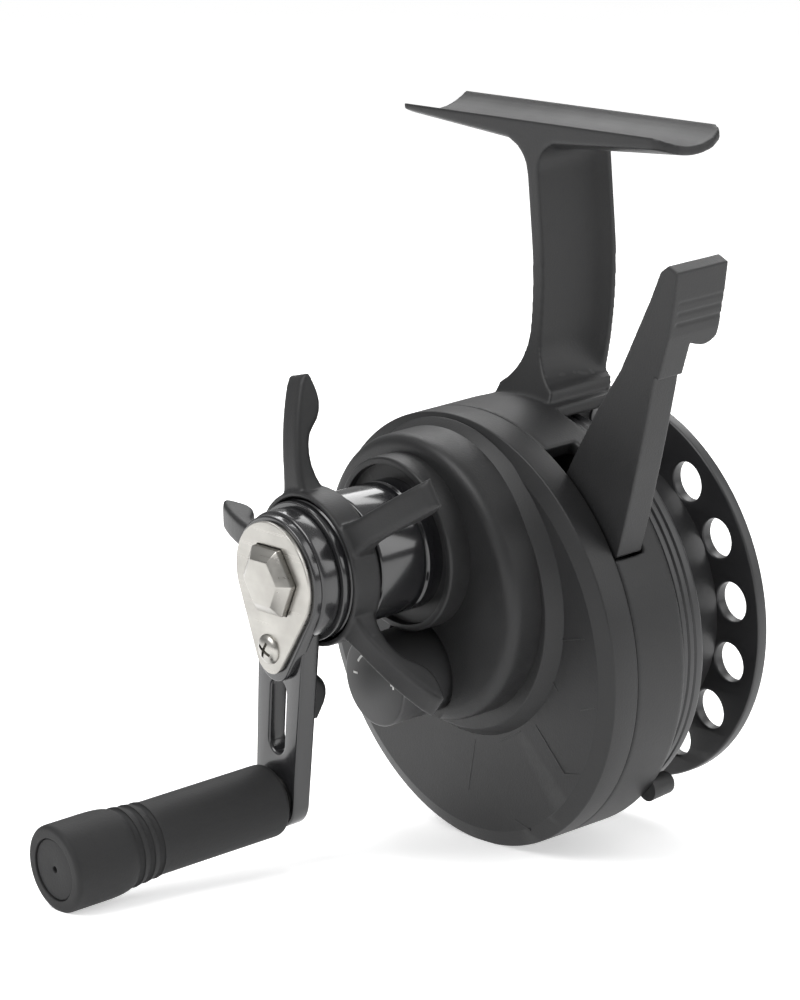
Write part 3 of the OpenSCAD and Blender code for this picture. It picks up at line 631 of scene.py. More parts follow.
# %% frame: sizes
ring_w = 9.6
ring_wall = 2.5
hood_back = 21.0
hood_half = 8.0
seat_back = -seam_y / MM
foot_z = -axis_z / MM
foot_half = 30.0
foot_w = 12.7
saddle_r = 11.1
ring_profile = rounded(
    [(housing_r - ring_wall, 0), (housing_r, 0), (housing_r, ring_w),
     (housing_r - ring_wall, ring_w)],
    [0.1, 0.25, 0.9, 0.2],
)
print("seat is", round(seat_back, 2), "mm behind the seam and", round(foot_z, 2), "mm up")

# %% [markdown]
# The stem's side is drawn as two curves, one for its front and one for its back. A section at
# each height reaches from one curve to the other: thin in front, scooped at the sides, and wide
# along the far edge. Stacked sections follow a waisted shape that an extruded outline can't.

# %% frame: the stem
def side_curve(points, z):
    """y on a polyline of (y, z) at height z."""
    for (ya, za), (yb, zb) in zip(points, points[1:]):
        if za <= z <= zb:
            t = (z - za) / (zb - za)
            return ya + (yb - ya) * t
    return points[-1][0]


def web_half(z, low, high):
    """Half width of the web at height z, with its fillets at the ring and the foot."""
    half = 1.3
    base, top = 9.0, 5.0
    if z < low + base:
        half += base - sqrt(max(0.0, base ** 2 - (low + base - z) ** 2))
    if z > high - top:
        half += top - sqrt(max(0.0, top ** 2 - (z - high + top) ** 2))
    return half


stem_low = housing_r - 2.4
stem_high = foot_z - 0.6
stem_front = seat_back - foot_w / 2
stem_back = seat_back + 5.9
straight_z = stem_low + 27
front_line = bend(
    (ring_w - 1.4, stem_low), (stem_front, stem_low + 9), (stem_front, straight_z), 12)
front_line.append((stem_front, foot_z))
back_line = bend(
    (hood_back, stem_low), (stem_back, stem_low + 12), (stem_back, straight_z), 12)
back_line.append((stem_back, foot_z))


def stem():
    """Each section is a thin strip in front whose sides scoop out to the wide far edge."""
    loops = []
    levels, widest, far_half = 48, 6.3, 4.5
    for k in range(levels + 1):
        z = stem_low + (stem_high - stem_low) * k / levels
        half = min(widest, web_half(max(z, housing_r), housing_r, foot_z - 1.2))
        wide = max(far_half, half)
        y0, y1 = side_curve(front_line, z), side_curve(back_line, z)
        scoop = bend((half, y0 + 2.5), (half, y1 - 2.6), (wide, y1 - 1.0), 10)
        right_side = [(half, y0)] + scoop + [(wide, y1)]
        flat = right_side + [(-x, y) for x, y in right_side[::-1]]
        loops.append([(x, y, z) for x, y in flat])
    return skin("stem", loops)


# %% [markdown]
# The foot's cross-section is a saddle: the rod's curve on top and a flatter belly below. It is
# thick over the stem and thin at the ends, so loops of the section are stacked along the rod and
# their belly rises towards each end. One end is cut straight and the other has round corners.

# %% frame: the foot
def foot():
    loops = []
    mid_t, left_t, right_t = 3.1, 0.7, 1.4
    corner, belly_r, sections = 3.0, 12.5, 60
    for k in range(sections + 1):
        x = -foot_half + 2 * foot_half * k / sections
        end_t = left_t if x < 0 else right_t
        share = abs(x) / foot_half
        thick = mid_t + (end_t - mid_t) * share
        half = foot_w / 2
        inset = x - (foot_half - corner)
        if inset > 0:
            half -= corner - sqrt(max(0.0, corner ** 2 - inset ** 2))
        top, belly = [], []
        for j in range(13):
            y = -half + 2 * half * j / 12
            top.append((x, seat_back + y, foot_z + saddle_r - sqrt(saddle_r ** 2 - y ** 2)))
            rise = belly_r - sqrt(belly_r ** 2 - y ** 2)
            belly.append((x, seat_back + y, foot_z - thick + rise))
        loops.append(top + belly[::-1])
    return skin("foot", loops)


# %% [markdown]
# The notch for the lever is cut through the ring, and the hood is a short arch that runs back
# over the spool between two ends. The back wall closes the ring. It sits deep inside, so it is
# turned and joined on afterwards without melting.

# %% frame: ring, hood and notch
def slice_cutter(name, low, high, y0, y1, r0, r1):
    inner = [polar(r0, low + (high - low) * k / 16) for k in range(17)]
    outer = [polar(r1, low + (high - low) * k / 16) for k in range(17)]
    flat = outer + inner[::-1]
    return skin(name, [[(x, y, z) for x, z in flat] for y in (y0, y1)])


def hood():
    outer, inner = housing_r, housing_r - 1.9
    reach = hood_half
    top = [(x, sqrt(outer ** 2 - x ** 2)) for x in [reach - 2 * reach * k / 20 for k in range(21)]]
    low = [(x, sqrt(inner ** 2 - x ** 2)) for x in [-reach + 2 * reach * k / 20 for k in range(21)]]
    flat = top + low
    return skin("hood", [[(x, y, z) for x, z in flat] for y in (ring_w - 3, hood_back)])


notch_low, notch_high = 27.0, 62.0
lever_low, lever_high = span("trigger_lever")
notch_back = 5.7
body_moulding = turned("reel_frame", ring_profile, steps=192)
body_moulding = fused(body_moulding, [hood(), stem(), foot()])
notch = slice_cutter("notch", notch_low, notch_high, -1, notch_back, housing_r - 5, housing_r + 4)
body_moulding = carved(body_moulding, [notch])
melted(body_moulding, melt_square, 8)
wall_y0, wall_y1 = ring_w - 3.2, ring_w - 0.6
shaft_hole_r, wall_r = 4.8, housing_r - ring_wall + 0.2
wall_profile = [(shaft_hole_r, wall_y0), (wall_r, wall_y0),
                (wall_r, wall_y1), (shaft_hole_r, wall_y1)]
back_wall = turned("back_wall", wall_profile)
body_moulding = joined("reel_frame", [body_moulding, back_wall])
settle(body_moulding, "frame")

# %% [markdown]
# The cover on the handle side is a stack of round steps, each turned with soft edges: the rim and
# its face, a low step that leans towards the top, the plateau, and the boss round the bearing
# sleeve. Each is its own turned shell, and they run into each other as the mouldings do. They are
# hollow round the pinion, which slides forward into the plateau when the lever is pulled.

# %% side cover: the rim and its steps
rim_depth = 5.6
plateau_r, plateau_rise, plateau_front = 22.2, 10.2, 13.5
boss_r, boss_rim_r, boss_front = 13.4, 12.3, 17.2
sleeve_r = (sleeve_high.x - sleeve_low.x) / 2
step_r = 24.9
step_rise = housing_r - step_r - 0.5
pinion_low, pinion_high = span("pinion_gear")
bore_r = (pinion_high.x - pinion_low.x) / 2 + 0.6
bore_y = pinion_low.y - 2.4
step_bore = step_rise + bore_r + 1

rim_shell = turned("cover_rim", rounded(
    [(bore_r, -3.6), (bore_r, -rim_depth), (housing_r - 2.6, -rim_depth),
     (housing_r, -rim_depth + 1.0), (housing_r, 0),
     (housing_r - ring_wall, 0), (housing_r - ring_wall, -3.6)],
    [0, 0, 0.5, 0.35, 0.25, 0.2, 0.3]), steps=192)
step_shell = turned("cover_step", rounded(
    [(step_bore, -rim_depth + 1), (step_r, -rim_depth + 0.4), (step_r - 1.9, -rim_depth - 2.2),
     (step_bore, -rim_depth - 2.2)],
    [0, 0.1, 0.5, 0]), z=step_rise, steps=160)
plateau_shell = turned("cover_plateau", rounded(
    [(0, -rim_depth + 1), (plateau_r, -rim_depth + 1), (plateau_r, -plateau_front),
     (0, -plateau_front)],
    [0, 0, 2.2, 0], steps=8), z=plateau_rise, steps=160)
boss_shell = turned("cover_boss", rounded(
    [(0, -plateau_front + 1), (boss_r, -plateau_front + 1), (boss_r, -boss_front),
     (boss_rim_r, -boss_front), (boss_rim_r, -boss_front + 1.3), (0, -boss_front + 1.3)],
    [0, 0, 1.5, 0.15, 0.2, 0], steps=7), z=drive_z, steps=128)
print("cover shells made")

# %% [markdown]
# The dial sits in a round pocket in the plateau, which is carved, and the plateau is bored out
# where the pinion moves. The face of the rim carries a few raised lines. Each is a small ridge
# laid along its points rather than a texture, so that it still shows from the side.

# %% side cover: the dial's pocket and the raised lines
dial_low, dial_high = span("power_dial")
dial_x = (dial_low.x + dial_high.x) / 2
dial_z = (dial_low.z + dial_high.z) / 2
dial_r = (dial_high.x - dial_low.x) / 2
dial_face = dial_low.y
pocket = turned("pocket", [(0, -plateau_front - 2), (dial_r + 1.2, -plateau_front - 2),
                           (dial_r + 1.2, -plateau_front + 1.6), (0, -plateau_front + 1.6)],
                x=dial_x, z=dial_z)
pinion_bore = turned("pinion_bore", [(0, 1), (bore_r, 1), (bore_r, bore_y), (0, bore_y)], steps=64)
plateau_shell = carved(plateau_shell, [pocket, pinion_bore])
print("bored for the pinion, radius", round(bore_r, 2), "to", round(bore_y, 2))


def ridge(points, width=0.45, height=0.16, y=-rim_depth):
    """A low raised line on a face at depth y, along points of (x, z)."""
    loops = []
    count = len(points)
    for i, (x, z) in enumerate(points):
        nx, nz = across(points, i, width)
        end = 0.3 if i in (0, count - 1) else 1.0
        loops.append([
            (x - nx, y + 0.2, z - nz), (x - nx * 0.4, y - height * end, z - nz * 0.4),
            (x + nx * 0.4, y - height * end, z + nz * 0.4), (x + nx, y + 0.2, z + nz),
        ])
    return skin("ridge", loops)


relief = [
    ridge([(29.0, 4.6), (23.4, 3.3), (21.0, -3.4), (22.1, -5.0)]),
    ridge([(16.4, -11.4), (22.5, -17.8), (26.0, -17.1)]),
    ridge([(26.9, -6.8), (30.3, -5.7)]),
    ridge([(1.7, -17.0), (-0.9, -25.7)]),
    ridge([(7.7, -16.0), (12.7, -13.2)]),
    ridge([(10.0, -28.0), (13.5, -28.8)]),
]
cover = joined("reel_cover", [rim_shell, step_shell, plateau_shell, boss_shell, *relief])
settle(cover, "side_cover")

# %% [markdown]
# The bearing sleeve is a smooth glossy tube with one fine seam groove near the boss. Its gloss is
# what shows the white softboxes, so its profile has a crisp but rounded rim.

# %% bearing sleeve
sleeve_front = sleeve_low.y
sleeve_profile = rounded(
    [(sleeve_r - 3, -12), (sleeve_r, -12), (sleeve_r, -boss_front - 1.2),
     (sleeve_r - 0.4, -boss_front - 1.5), (sleeve_r, -boss_front - 1.8),
     (sleeve_r, sleeve_front), (5.0, sleeve_front),
     (5.0, sleeve_front + 1.8), (sleeve_r - 3, sleeve_front + 1.8)],
    [0, 0, 0.15, 0.1, 0.15, 0.5, 0.2, 0, 0])
settle(turned("sleeve", sleeve_profile, z=drive_z, steps=160), "bearing_sleeve")

# %% [markdown]
# The star drag is a hub with five curved fingers that lean forward in front and hook back at
# their ends. Each finger is a row of rounded rectangles along the radius, and the hub and
# fingers are melted together, which gives the soft webs between them.

# %% star drag
star_front = -33.6
star_r = 28.0
star_hub_r = 11.7
star_arms = 5
star_first = 31.0
arm_root = 9.0
arm_front = bend(
    (arm_root, star_front + 0.2), (star_r * 0.68, star_front + 0.9),
    (star_r - 1, star_front + 4.8), 10)
arm_front += bend(
    (star_r - 0.5, star_front + 5.2), (star_r, star_front + 5.5),
    (star_r + 0.1, star_front + 6.1), 3)
arm_back = bend(
    (arm_root, star_front + 5.2), (star_r * 0.56, star_front + 2.6),
    (star_r * 0.69, star_front + 4.6), 6)
arm_back += bend(
    (star_r * 0.72, star_front + 5.4), (star_r * 0.8, star_front + 8.4),
    (star_r - 1.6, star_front + 7.0), 5)
arm_back += [(star_r - 0.6, star_front + 6.7), (star_r, star_front + 6.4)]


def star_arm(turn):
    """One finger: front and back edges run out together, and its width swells towards the tip."""
    loops = []
    count = len(arm_front)
    for i in range(count):
        (ra, ya), (rb, yb) = arm_front[i], arm_back[i]
        half = 2.2 + 1.3 * max(0.0, 1 - (ra - arm_root) / 6.0) ** 2
        edge = min(0.9, abs(yb - ya) * 0.4)
        flat = rounded([(ra, ya, -half), (rb, yb, -half), (rb, yb, half), (ra, ya, half)], edge)
        loop = []
        for r, y, t in flat:
            x = r * cos(turn) - t * sin(turn)
            z = drive_z + r * sin(turn) + t * cos(turn)
            loop.append((x, y, z))
        loops.append(loop)
    return skin("arm", loops)


star_back = star_front + 4.9
hub_profile = rounded(
    [(0, star_front), (star_hub_r, star_front), (star_hub_r, star_back), (0, star_back)],
    [0, 0.3, 0.5, 0])
star = turned("star_hub", hub_profile, z=drive_z, steps=160)
turns = [radians(star_first + 360 / star_arms * k) for k in range(star_arms)]
star = fused(star, [star_arm(angle) for angle in turns])
hub_recess_r, drive_hole_r = star_hub_r - 0.8, 3.2
bore = turned("bore", [(0, star_front - 2), (hub_recess_r, star_front - 2),
                       (hub_recess_r, star_front + 2.0), (drive_hole_r, star_front + 2.0),
                       (drive_hole_r, star_front + 6), (0, star_front + 6)], z=drive_z)
behind = turned("behind", [(0, star_back), (sleeve_r + 0.4, star_back),
                           (sleeve_r + 0.4, star_front + 14), (0, star_front + 14)], z=drive_z)
star = carved(star, [bore, behind])
star.name = "star_wheel"
melted(star, 0.24, 4)
settle(star, "star_drag")

# %% [markdown]
# The spacer between star and crank is a plain glossy ring. Its edges are turned with a small
# chamfer, because those two thin highlights are most of what is seen of it.

# %% handle spacer
spacer_low, spacer_high = span("handle_spacer")
spacer_r = (spacer_high.x - spacer_low.x) / 2
spacer_bore_r = 2.6
spacer_profile = rounded(
    [(spacer_bore_r, spacer_low.y), (spacer_r, spacer_low.y), (spacer_r, spacer_low.y + 1.2),
     (spacer_r - 0.25, spacer_low.y + 1.4), (spacer_r, spacer_low.y + 1.6),
     (spacer_r, spacer_high.y), (spacer_bore_r, spacer_high.y)],
    [0, 0.25, 0.05, 0.05, 0.05, 0.25, 0])
settle(turned("spacer", spacer_profile, z=drive_z, steps=128), "handle_spacer")

# %% [markdown]
# The crank is a flat bar with a round head, a tapering shank with one long slot, and an eye for
# the knob's spindle. It is cut as a plate with the slot as a hole. The head carries a second,
# thinner plate that follows the retainer's teardrop.

# %% crank arm
crank_length = 36.4
crank_lean = radians(10.6)
head_r = 10.4
eye_r = 4.7
arm_low, arm_high = span("handle_arm")
crank_back = arm_high.y
head_front = arm_low.y
crank_front = head_front + 1.2
screw_reach = 11.2


def on_crank(points):
    """Turns points drawn with the crank straight down to where the crank stands."""
    c, s = cos(crank_lean), sin(crank_lean)
    return [(x * c + z * s, drive_z - x * s + z * c) for x, z in points]


def two_rounds(r1, z1, r2, z2, steps=24):
    """The outline round two circles on one line, with straight sides between them."""
    a = acos((r1 - r2) / (z1 - z2))
    top, low = [], []
    for k in range(steps + 1):
        upper, lower = a + (2 * pi - 2 * a) * k / steps, a - 2 * a * k / steps
        top.append((r1 * sin(upper), z1 - r1 * cos(upper)))
        low.append((-r2 * sin(lower), z2 - r2 * cos(lower)))
    return top + low


def slot_outline(half, top, low, steps=10):
    half_turn = [pi * k / steps for k in range(steps + 1)]
    upper = [(half * cos(a), top + half * sin(a)) for a in half_turn]
    lower = [(-half * cos(a), low - half * sin(a)) for a in half_turn]
    return upper + lower


shank = plate("shank", on_crank(two_rounds(5.6, -6, eye_r, -crank_length)), crank_front, crank_back,
              0.45, [on_crank(slot_outline(1.8, -18.5, -27.0))])
head_disc = plate("head_disc", on_crank(ring_points(head_r - 0.6, 96)),
                  crank_front, crank_back, 0.45)
head_rise = plate("head_rise", on_crank(two_rounds(head_r - 1.0, 0, 4.0, -screw_reach - 1.3, 40)),
                  head_front, crank_front + 0.8, 0.3)
settle(joined("crank_arm", [shank, head_disc, head_rise]), "handle_arm")

# %% [markdown]
# The retainer is a teardrop of polished sheet that keeps the handle nut from turning, held by one
# small screw. Its window fits the nut's hexagon. It is cut as a plate like the crank, only with
# a finer edge.

# %% nut retainer
plate_low, plate_high = span("nut_retainer")
nut_low, nut_high = span("handle_nut")
nut_across = (nut_high.x - nut_low.x) / 2
window = [polar(nut_across + 0.12, 60 * k, 0, drive_z) for k in range(6)]
retainer = plate("retainer", on_crank(two_rounds(head_r - 1.7, 0, 3.3, -screw_reach - 0.6, 48)),
                 plate_low.y, plate_high.y, 0.14, [window])
settle(retainer, "nut_retainer")

# %% [markdown]
# The nut is a hexagon whose top slopes in from the flats to a smaller hexagon, so each facet
# catches the light by itself. Loops of six points are enough, and a bevel breaks the edges.

# %% handle nut
def bevelled(piece, width, segments=2, sharp=30.0):
    bevel = piece.modifiers.new("edges", "BEVEL")
    bevel.width = width * MM
    bevel.segments = segments
    bevel.limit_method = "ANGLE"
    bevel.angle_limit = radians(20)
    bevel.harden_normals = False
    baked(piece)
    shaded(piece.data, sharp)
    return piece


def hexagon_loop(across, y, z=0.0, turn=0.0):
    return [(x, y, zz) for x, zz in [polar(across, turn + 60 * k, 0, z) for k in range(6)]]


nut = skin("crank_nut", [
    hexagon_loop(nut_across, nut_high.y, drive_z),
    hexagon_loop(nut_across, nut_low.y + 1.3, drive_z),
    hexagon_loop(nut_across - 1.9, nut_low.y, drive_z),
], sharp=20)
settle(bevelled(nut, 0.14), "handle_nut")

# %% [markdown]
# The retainer's screw has a domed head and a cross recess. The dome is turned and the cross is
# carved with two thin boxes, which is how the punch makes it.

# %% retainer screw
screw_low, screw_high = span("retainer_screw")
screw_x, screw_z = on_crank([(0, -screw_reach)])[0]
screw_head_r, screw_shank_r, dome_height = 2.3, 1.1, 1.1
dome = [(0, screw_low.y)] + [
    (screw_head_r * sin(radians(a)), plate_low.y - dome_height * cos(radians(a)))
    for a in range(15, 91, 15)
] + [(screw_head_r, plate_low.y + 0.05), (screw_shank_r, plate_low.y + 0.05),
     (screw_shank_r, screw_high.y), (0, screw_high.y)]


def block(name, x, y0, y1, z, half_x, half_z, turn):
    flat = []
    for u, v in ((-half_x, -half_z), (half_x, -half_z), (half_x, half_z), (-half_x, half_z)):
        flat.append((x + u * cos(turn) + v * sin(turn), z - u * sin(turn) + v * cos(turn)))
    return skin(name, [[(a, y, b) for a, b in flat] for y in (y0, y1)])


cross_thin, cross_long, cross_deep = 0.26, 1.35, 0.8
cross_cut = [
    block(name, screw_x, screw_low.y - 1, screw_low.y + cross_deep, screw_z, half_x, half_z,
          crank_lean + 0.3)
    for name, half_x, half_z in (("cut_a", cross_thin, cross_long),
                                 ("cut_b", cross_long, cross_thin))
]
screw = carved(turned("keeper_screw", dome, x=screw_x, z=screw_z, steps=64), cross_cut)
settle(screw, "retainer_screw")

# %% [markdown]
# The knob is a rubber sleeve over a spindle. Its inner part is thinner than its outer end, three
# shallow grooves part them, and a flat cap with a small centre hole closes the end. All of it is
# turned in one profile, with generous rounds, because rubber has no sharp edges.

# %% knob
grip_low, grip_high = span("knob_grip")
knob_x = (grip_low.x + grip_high.x) / 2
knob_z = (grip_low.z + grip_high.z) / 2
knob_r = (grip_high.x - grip_low.x) / 2
knob_front, knob_back = grip_low.y, grip_high.y
knob_length = knob_back - knob_front
inner_r = knob_r - 1
cap_r = knob_r - 1.9
knob_bore_r = 3.1
waist = knob_front + knob_length * 0.31


def grip_profile():
    """From the inner end to the outer end along the outside, then back through the bore."""
    outside = rounded([(knob_bore_r, knob_back), (inner_r, knob_back), (inner_r, waist + 4.8)],
                      [0, 1.2, 0], steps=8, closed=False)
    for k in range(3):
        middle = waist + 3.2 - k * 1.9
        swell = inner_r + 0.2 + 0.15 * k
        for a in range(-90, 91, 18):
            depth = 0.42 * cos(radians(a))
            outside.append((swell - depth, middle + 0.55 * -sin(radians(a))))
    outside += bend((inner_r + 0.6, waist - 1.4), (knob_r, waist - 2.4), (knob_r, waist - 5.5), 5)
    outside += rounded(
        [(knob_r, waist - 6), (knob_r, knob_front), (cap_r, knob_front), (cap_r, knob_front + 1.2)],
        [0, 1.7, 0.15, 0], steps=8, closed=False)
    return outside + [(knob_bore_r, knob_front + 1.2)]


settle(turned("grip", grip_profile(), x=knob_x, z=knob_z, steps=128), "knob_grip")
cap_profile = rounded(
    [(0.5, knob_front + 1.6), (0.5, knob_front + 0.25), (cap_r - 0.05, knob_front + 0.25),
     (cap_r - 0.05, knob_front + 1.2),
     (3.3, knob_front + 1.2), (3.3, knob_front + 2.4), (0.5, knob_front + 2.4)],
    [0, 0.12, 0.3, 0, 0, 0, 0])
settle(turned("grip_cap", cap_profile, x=knob_x, z=knob_z, steps=96), "knob_cap", "grip_rubber")

# %% [markdown]
# The spindle is riveted through the crank's eye: a flange in front, a low domed rivet head behind.

# %% knob spindle
spindle_low, spindle_high = span("knob_spindle")
spindle_r, collar_r, rivet_r = 2.0, 3.6, 2.7
spindle_profile = rounded(
    [(0, spindle_low.y), (spindle_r, spindle_low.y), (spindle_r, crank_front - 0.6),
     (collar_r, crank_front - 0.6), (collar_r, crank_front), (spindle_r, crank_front),
     (spindle_r, crank_back), (rivet_r, crank_back), (rivet_r - 0.3, spindle_high.y),
     (0, spindle_high.y)],
    [0, 0.3, 0, 0.15, 0.1, 0, 0, 0.1, 0.3, 0])
settle(turned("spindle", spindle_profile, x=knob_x, z=knob_z, steps=96), "knob_spindle")

# %% [markdown]
# The power dial is a plain drum with a printed arc from minus to plus. The printing is thin
# raised ink, so it is real geometry a few hundredths of a millimetre high. Its only signs are a
# minus and a plus.

# %% power dial
dial_profile = rounded(
    [(0, -plateau_front + 1.4), (dial_r, -plateau_front + 1.4), (dial_r, dial_face), (0, dial_face)],
    [0, 0.2, 0.45, 0], steps=5)
settle(turned("dial", dial_profile, x=dial_x, z=dial_z, steps=128), "power_dial", "dial_black")


def ink_stroke(name, points, width):
    """A flat stroke of ink on the dial's face, along points of (x, z) about the dial's axis."""
    left, right = [], []
    for i, (x, z) in enumerate(points):
        nx, nz = across(points, i, width)
        left.append((dial_x + x + nx, dial_z + z + nz))
        right.append((dial_x + x - nx, dial_z + z - nz))
    flat = left + right[::-1]
    return skin(name, [[(x, y, z) for x, z in flat] for y in (dial_face + 0.02, dial_face - 0.03)])


arc_marks = [polar(4.4, a) for a in range(35, 150, 5)]
minus_mark = [(-4.9, 0.6), (-3.9, 0.6)]
plus_marks = [[(4.0, 0.3), (5.2, 0.3)], [(4.6, -0.3), (4.6, 0.9)]]
strokes = [ink_stroke("arc", arc_marks, 0.36), ink_stroke("minus", minus_mark, 0.32)]
strokes += [ink_stroke("plus", marks, 0.32) for marks in plus_marks]
add_on(joined("dial_marks", strokes), "power_dial", "white_ink")

# %% [markdown]
# The spool is turned from one bar: a skirt with three fine lines that runs under the hood, the
# bed for the line, and a deep recess on the open side. The far flange is a plate so that each of
# its holes gets its own rounded edge.

# %% spool
bed_r = 22.2
far_flange_y = spool_end - 1.9
skirt_back = 15.6
skirt_lines = []
for k in (1, 2, 3):
    y = (ring_w + 0.4) + 1.3 * k
    skirt_lines += [(flange_r, y - 0.28), (flange_r - 0.3, y), (flange_r, y + 0.28)]
spool_bore_r, pin_seat_r, hub_r = 2.2, 4.9, 7
bed_inside, skirt_inside = bed_r - 1.8, flange_r - 1.5
spool_profile = rounded(
    [(spool_bore_r, 12.4), (pin_seat_r, 12.4), (pin_seat_r, ring_w + 0.7), (hub_r, ring_w + 0.7),
     (hub_r, 18), (bed_inside, 18), (bed_inside, skirt_back - 1.8),
     (skirt_inside, skirt_back - 1.8), (skirt_inside, ring_w + 0.4), (flange_r, ring_w + 0.4)]
    + skirt_lines +
    [(flange_r, skirt_back), (bed_r, skirt_back), (bed_r, far_flange_y + 0.5),
     (bed_inside, far_flange_y + 0.5), (bed_inside, 20), (hub_r, 20), (hub_r, spool_end - 0.5),
     (spool_bore_r, spool_end - 0.5)],
    [0, 0, 0, 0.2, 0.5, 0, 0, 0, 0.2, 0.3] + [0.05] * 9 + [0.5, 0.6, 0, 0, 0.6, 0.6, 0.5, 0])
spool_core = turned("spool_core", spool_profile, steps=192)
hole_count = 16
hole_r = 3.1
hole_ring_r = (flange_r + bed_r) / 2 - 1.25
first_hole = 48.7
holes = []
for k in range(hole_count):
    x, z = polar(hole_ring_r, first_hole + 360 / hole_count * k)
    holes.append(ring_points(hole_r, 40, x, z))
flange = plate("flange", ring_points(flange_r, 224), far_flange_y, spool_end, 0.35,
               [ring_points(bed_inside, 160)] + holes)
settle(joined("spool_turned", [spool_core, flange]), "spool")

# %% [markdown]
# The lever is a flat beam that widens towards the ring, with a thumb pad hooked out behind and
# ribs across the pad's face. Beam and pad are plates of two depths and the ribs are carved with
# thin rods, then all is melted so that the pad grows out of the beam.

# %% trigger lever
lever_y0 = lever_low.y
beam_thick = 4.8
lever_y1 = lever_y0 + beam_thick
pivot_x, pivot_z = polar(housing_r - ring_wall - 3, 22)
beam_outline = [polar(housing_r + 1.9, 53.8), polar(housing_r - 3.7, 53.2),
                polar(housing_r - 4.7, 44), polar(housing_r - 4.7, 34),
                polar(housing_r - 4.5, notch_low + 1.5)]
beam_outline += bend(polar(housing_r, notch_low + 0.6), (37.6, 33.5), (44.3, 57))
beam_outline += [(44.7, 61.1), (43, 60), (40.5, 55.7), (33.2, 44.4), (27.6, 37.7)]
beam = skin("beam", [[(x, y, z) for x, z in beam_outline] for y in (lever_y0, lever_y1)])
pad_outline = [(42.4, 59), (44.7, 61.1), (46.6, 60.2), (45.6, 56), (44, 50.5), (41.2, 44),
               (38.6, 45), (41.2, 54)]
pad_back = lever_high.y + 1.2
pad = skin("pad", [[(x, y, z) for x, z in pad_outline] for y in (lever_y0, pad_back)])
under = bend((lever_y1, 49), (pad_back, 46), (pad_back + 1, 52))
under_cut = [(lever_y1, 40)] + under + [(pad_back + 2, 40)]
cutter = skin("under", [[(x, y, z) for y, z in under_cut] for x in (20, 60)])
pad = carved(pad, [cutter])


def rod(name, x, z, r, y0, y1, steps=24):
    return turned(name, [(0, y0), (r, y0), (r, y1), (0, y1)], x=x, z=z, steps=steps)


rib_r, rib_count = 0.55, 5
ribs = [rod("rib", 46.9 - 0.5 * k, 58.6 - 1.6 * k, rib_r, lever_y0 + 1, pad_back + 2)
        for k in range(rib_count)]
hub = rod("hub", pivot_x, pivot_z, 2.5, lever_y0, lever_y1, 48)
lever = fused(beam, [pad])
lever = carved(lever, ribs)
lever.name = "trigger"
melted(lever, 0.16, 9)
neck_outline = [(pivot_x - 2.2, pivot_z), (pivot_x + 2.2, pivot_z + 0.5),
                polar(housing_r - 3, notch_low + 2), polar(housing_r - 5.5, 40)]
neck = skin("neck", [[(x, y, z) for x, z in neck_outline] for y in (lever_y0, lever_y1)])
settle(joined("trigger", [lever, hub, neck]), "trigger_lever")

# %% [markdown]
# Two small things close the list of pieces that show: the nub that the loose line end hooks on,
# and the black nut that holds the spool on its shaft.

# %% line keeper and spool nut
keeper_high = span("line_keeper")[1]
keeper_x, keeper_z = polar(housing_r - 0.3, -45)
keeper_profile = rounded(
    [(0, ring_w - 0.5), (2.0, ring_w - 0.5), (1.7, keeper_high.y), (0, keeper_high.y)],
    [0, 0, 0.6, 0])
keeper = turned("keeper", keeper_profile, x=keeper_x, z=keeper_z, steps=40)
settle(keeper, "line_keeper")
spool_nut = skin("spool_nut_hex", [
    hexagon_loop(4.6, spool_end), hexagon_loop(4.6, spool_end + 1.6),
    hexagon_loop(4.0, spool_end + 2.0),
])
flange_profile = rounded(
    [(0, spool_end - 0.5), (5.6, spool_end - 0.5), (5.6, spool_end), (0, spool_end)],
    [0, 0, 0.2, 0])
nut_flange = turned("nut_flange", flange_profile, steps=64)
settle(joined("spool_cap_nut", [bevelled(spool_nut, 0.15), nut_flange]), "spool_nut")

# %% [markdown]
# The inner works keep their CAD shapes, which are already right: shafts, gears, bearings and
# springs. They only need their finishes.

# %% finishes for the inner works
for name, node in frame["nodes"].items():
    if node.hide_render:
        continue
    node.data.materials.clear()
    node.data.materials.append(finish[slot_of_node[name]])
print("kept as they are:", sorted(n for n, o in frame["nodes"].items() if not o.hide_render))

# %% [markdown]
# The reel rests on the lowest edge of its cover and on the end of its knob, so the floor is the
# plane through those two points that is level for the camera. The camera is placed first, by its
# azimuth, elevation and roll about the reel.

# %% camera
azimuth, elevation, roll = radians(52.36), radians(15.28), radians(-4.18)
distance, shift_right, shift_up = 613.04, -13.57, 18.77
focal_share = 4.01537
back = Vector((sin(azimuth) * cos(elevation), -cos(azimuth) * cos(elevation), sin(elevation)))
level = Vector((cos(azimuth), sin(azimuth), 0))
upright = back.cross(level)
right = level * cos(roll) + upright * sin(roll)
up = upright * cos(roll) - level * sin(roll)
eye = back * distance + right * shift_right + up * shift_up
lens = bpy.data.cameras.new("camera")
lens.lens = 36 * focal_share
lens.clip_start = 0.01
lens.clip_end = 20
camera = bpy.data.objects.new("camera", lens)
turn = Matrix((right, up, back)).transposed().to_4x4()
camera.matrix_world = Matrix.Translation(place(*eye)) @ turn
bpy.context.scene.collection.objects.link(camera)
bpy.context.scene.camera = camera
print("camera at", [round(v, 4) for v in camera.location])

# %% [markdown]
# The floor is a wide grid. It shows from above only: seen from behind it lets the view through,
# so a camera below the reel still sees it. It glows a little, which keeps it as pale as the room.

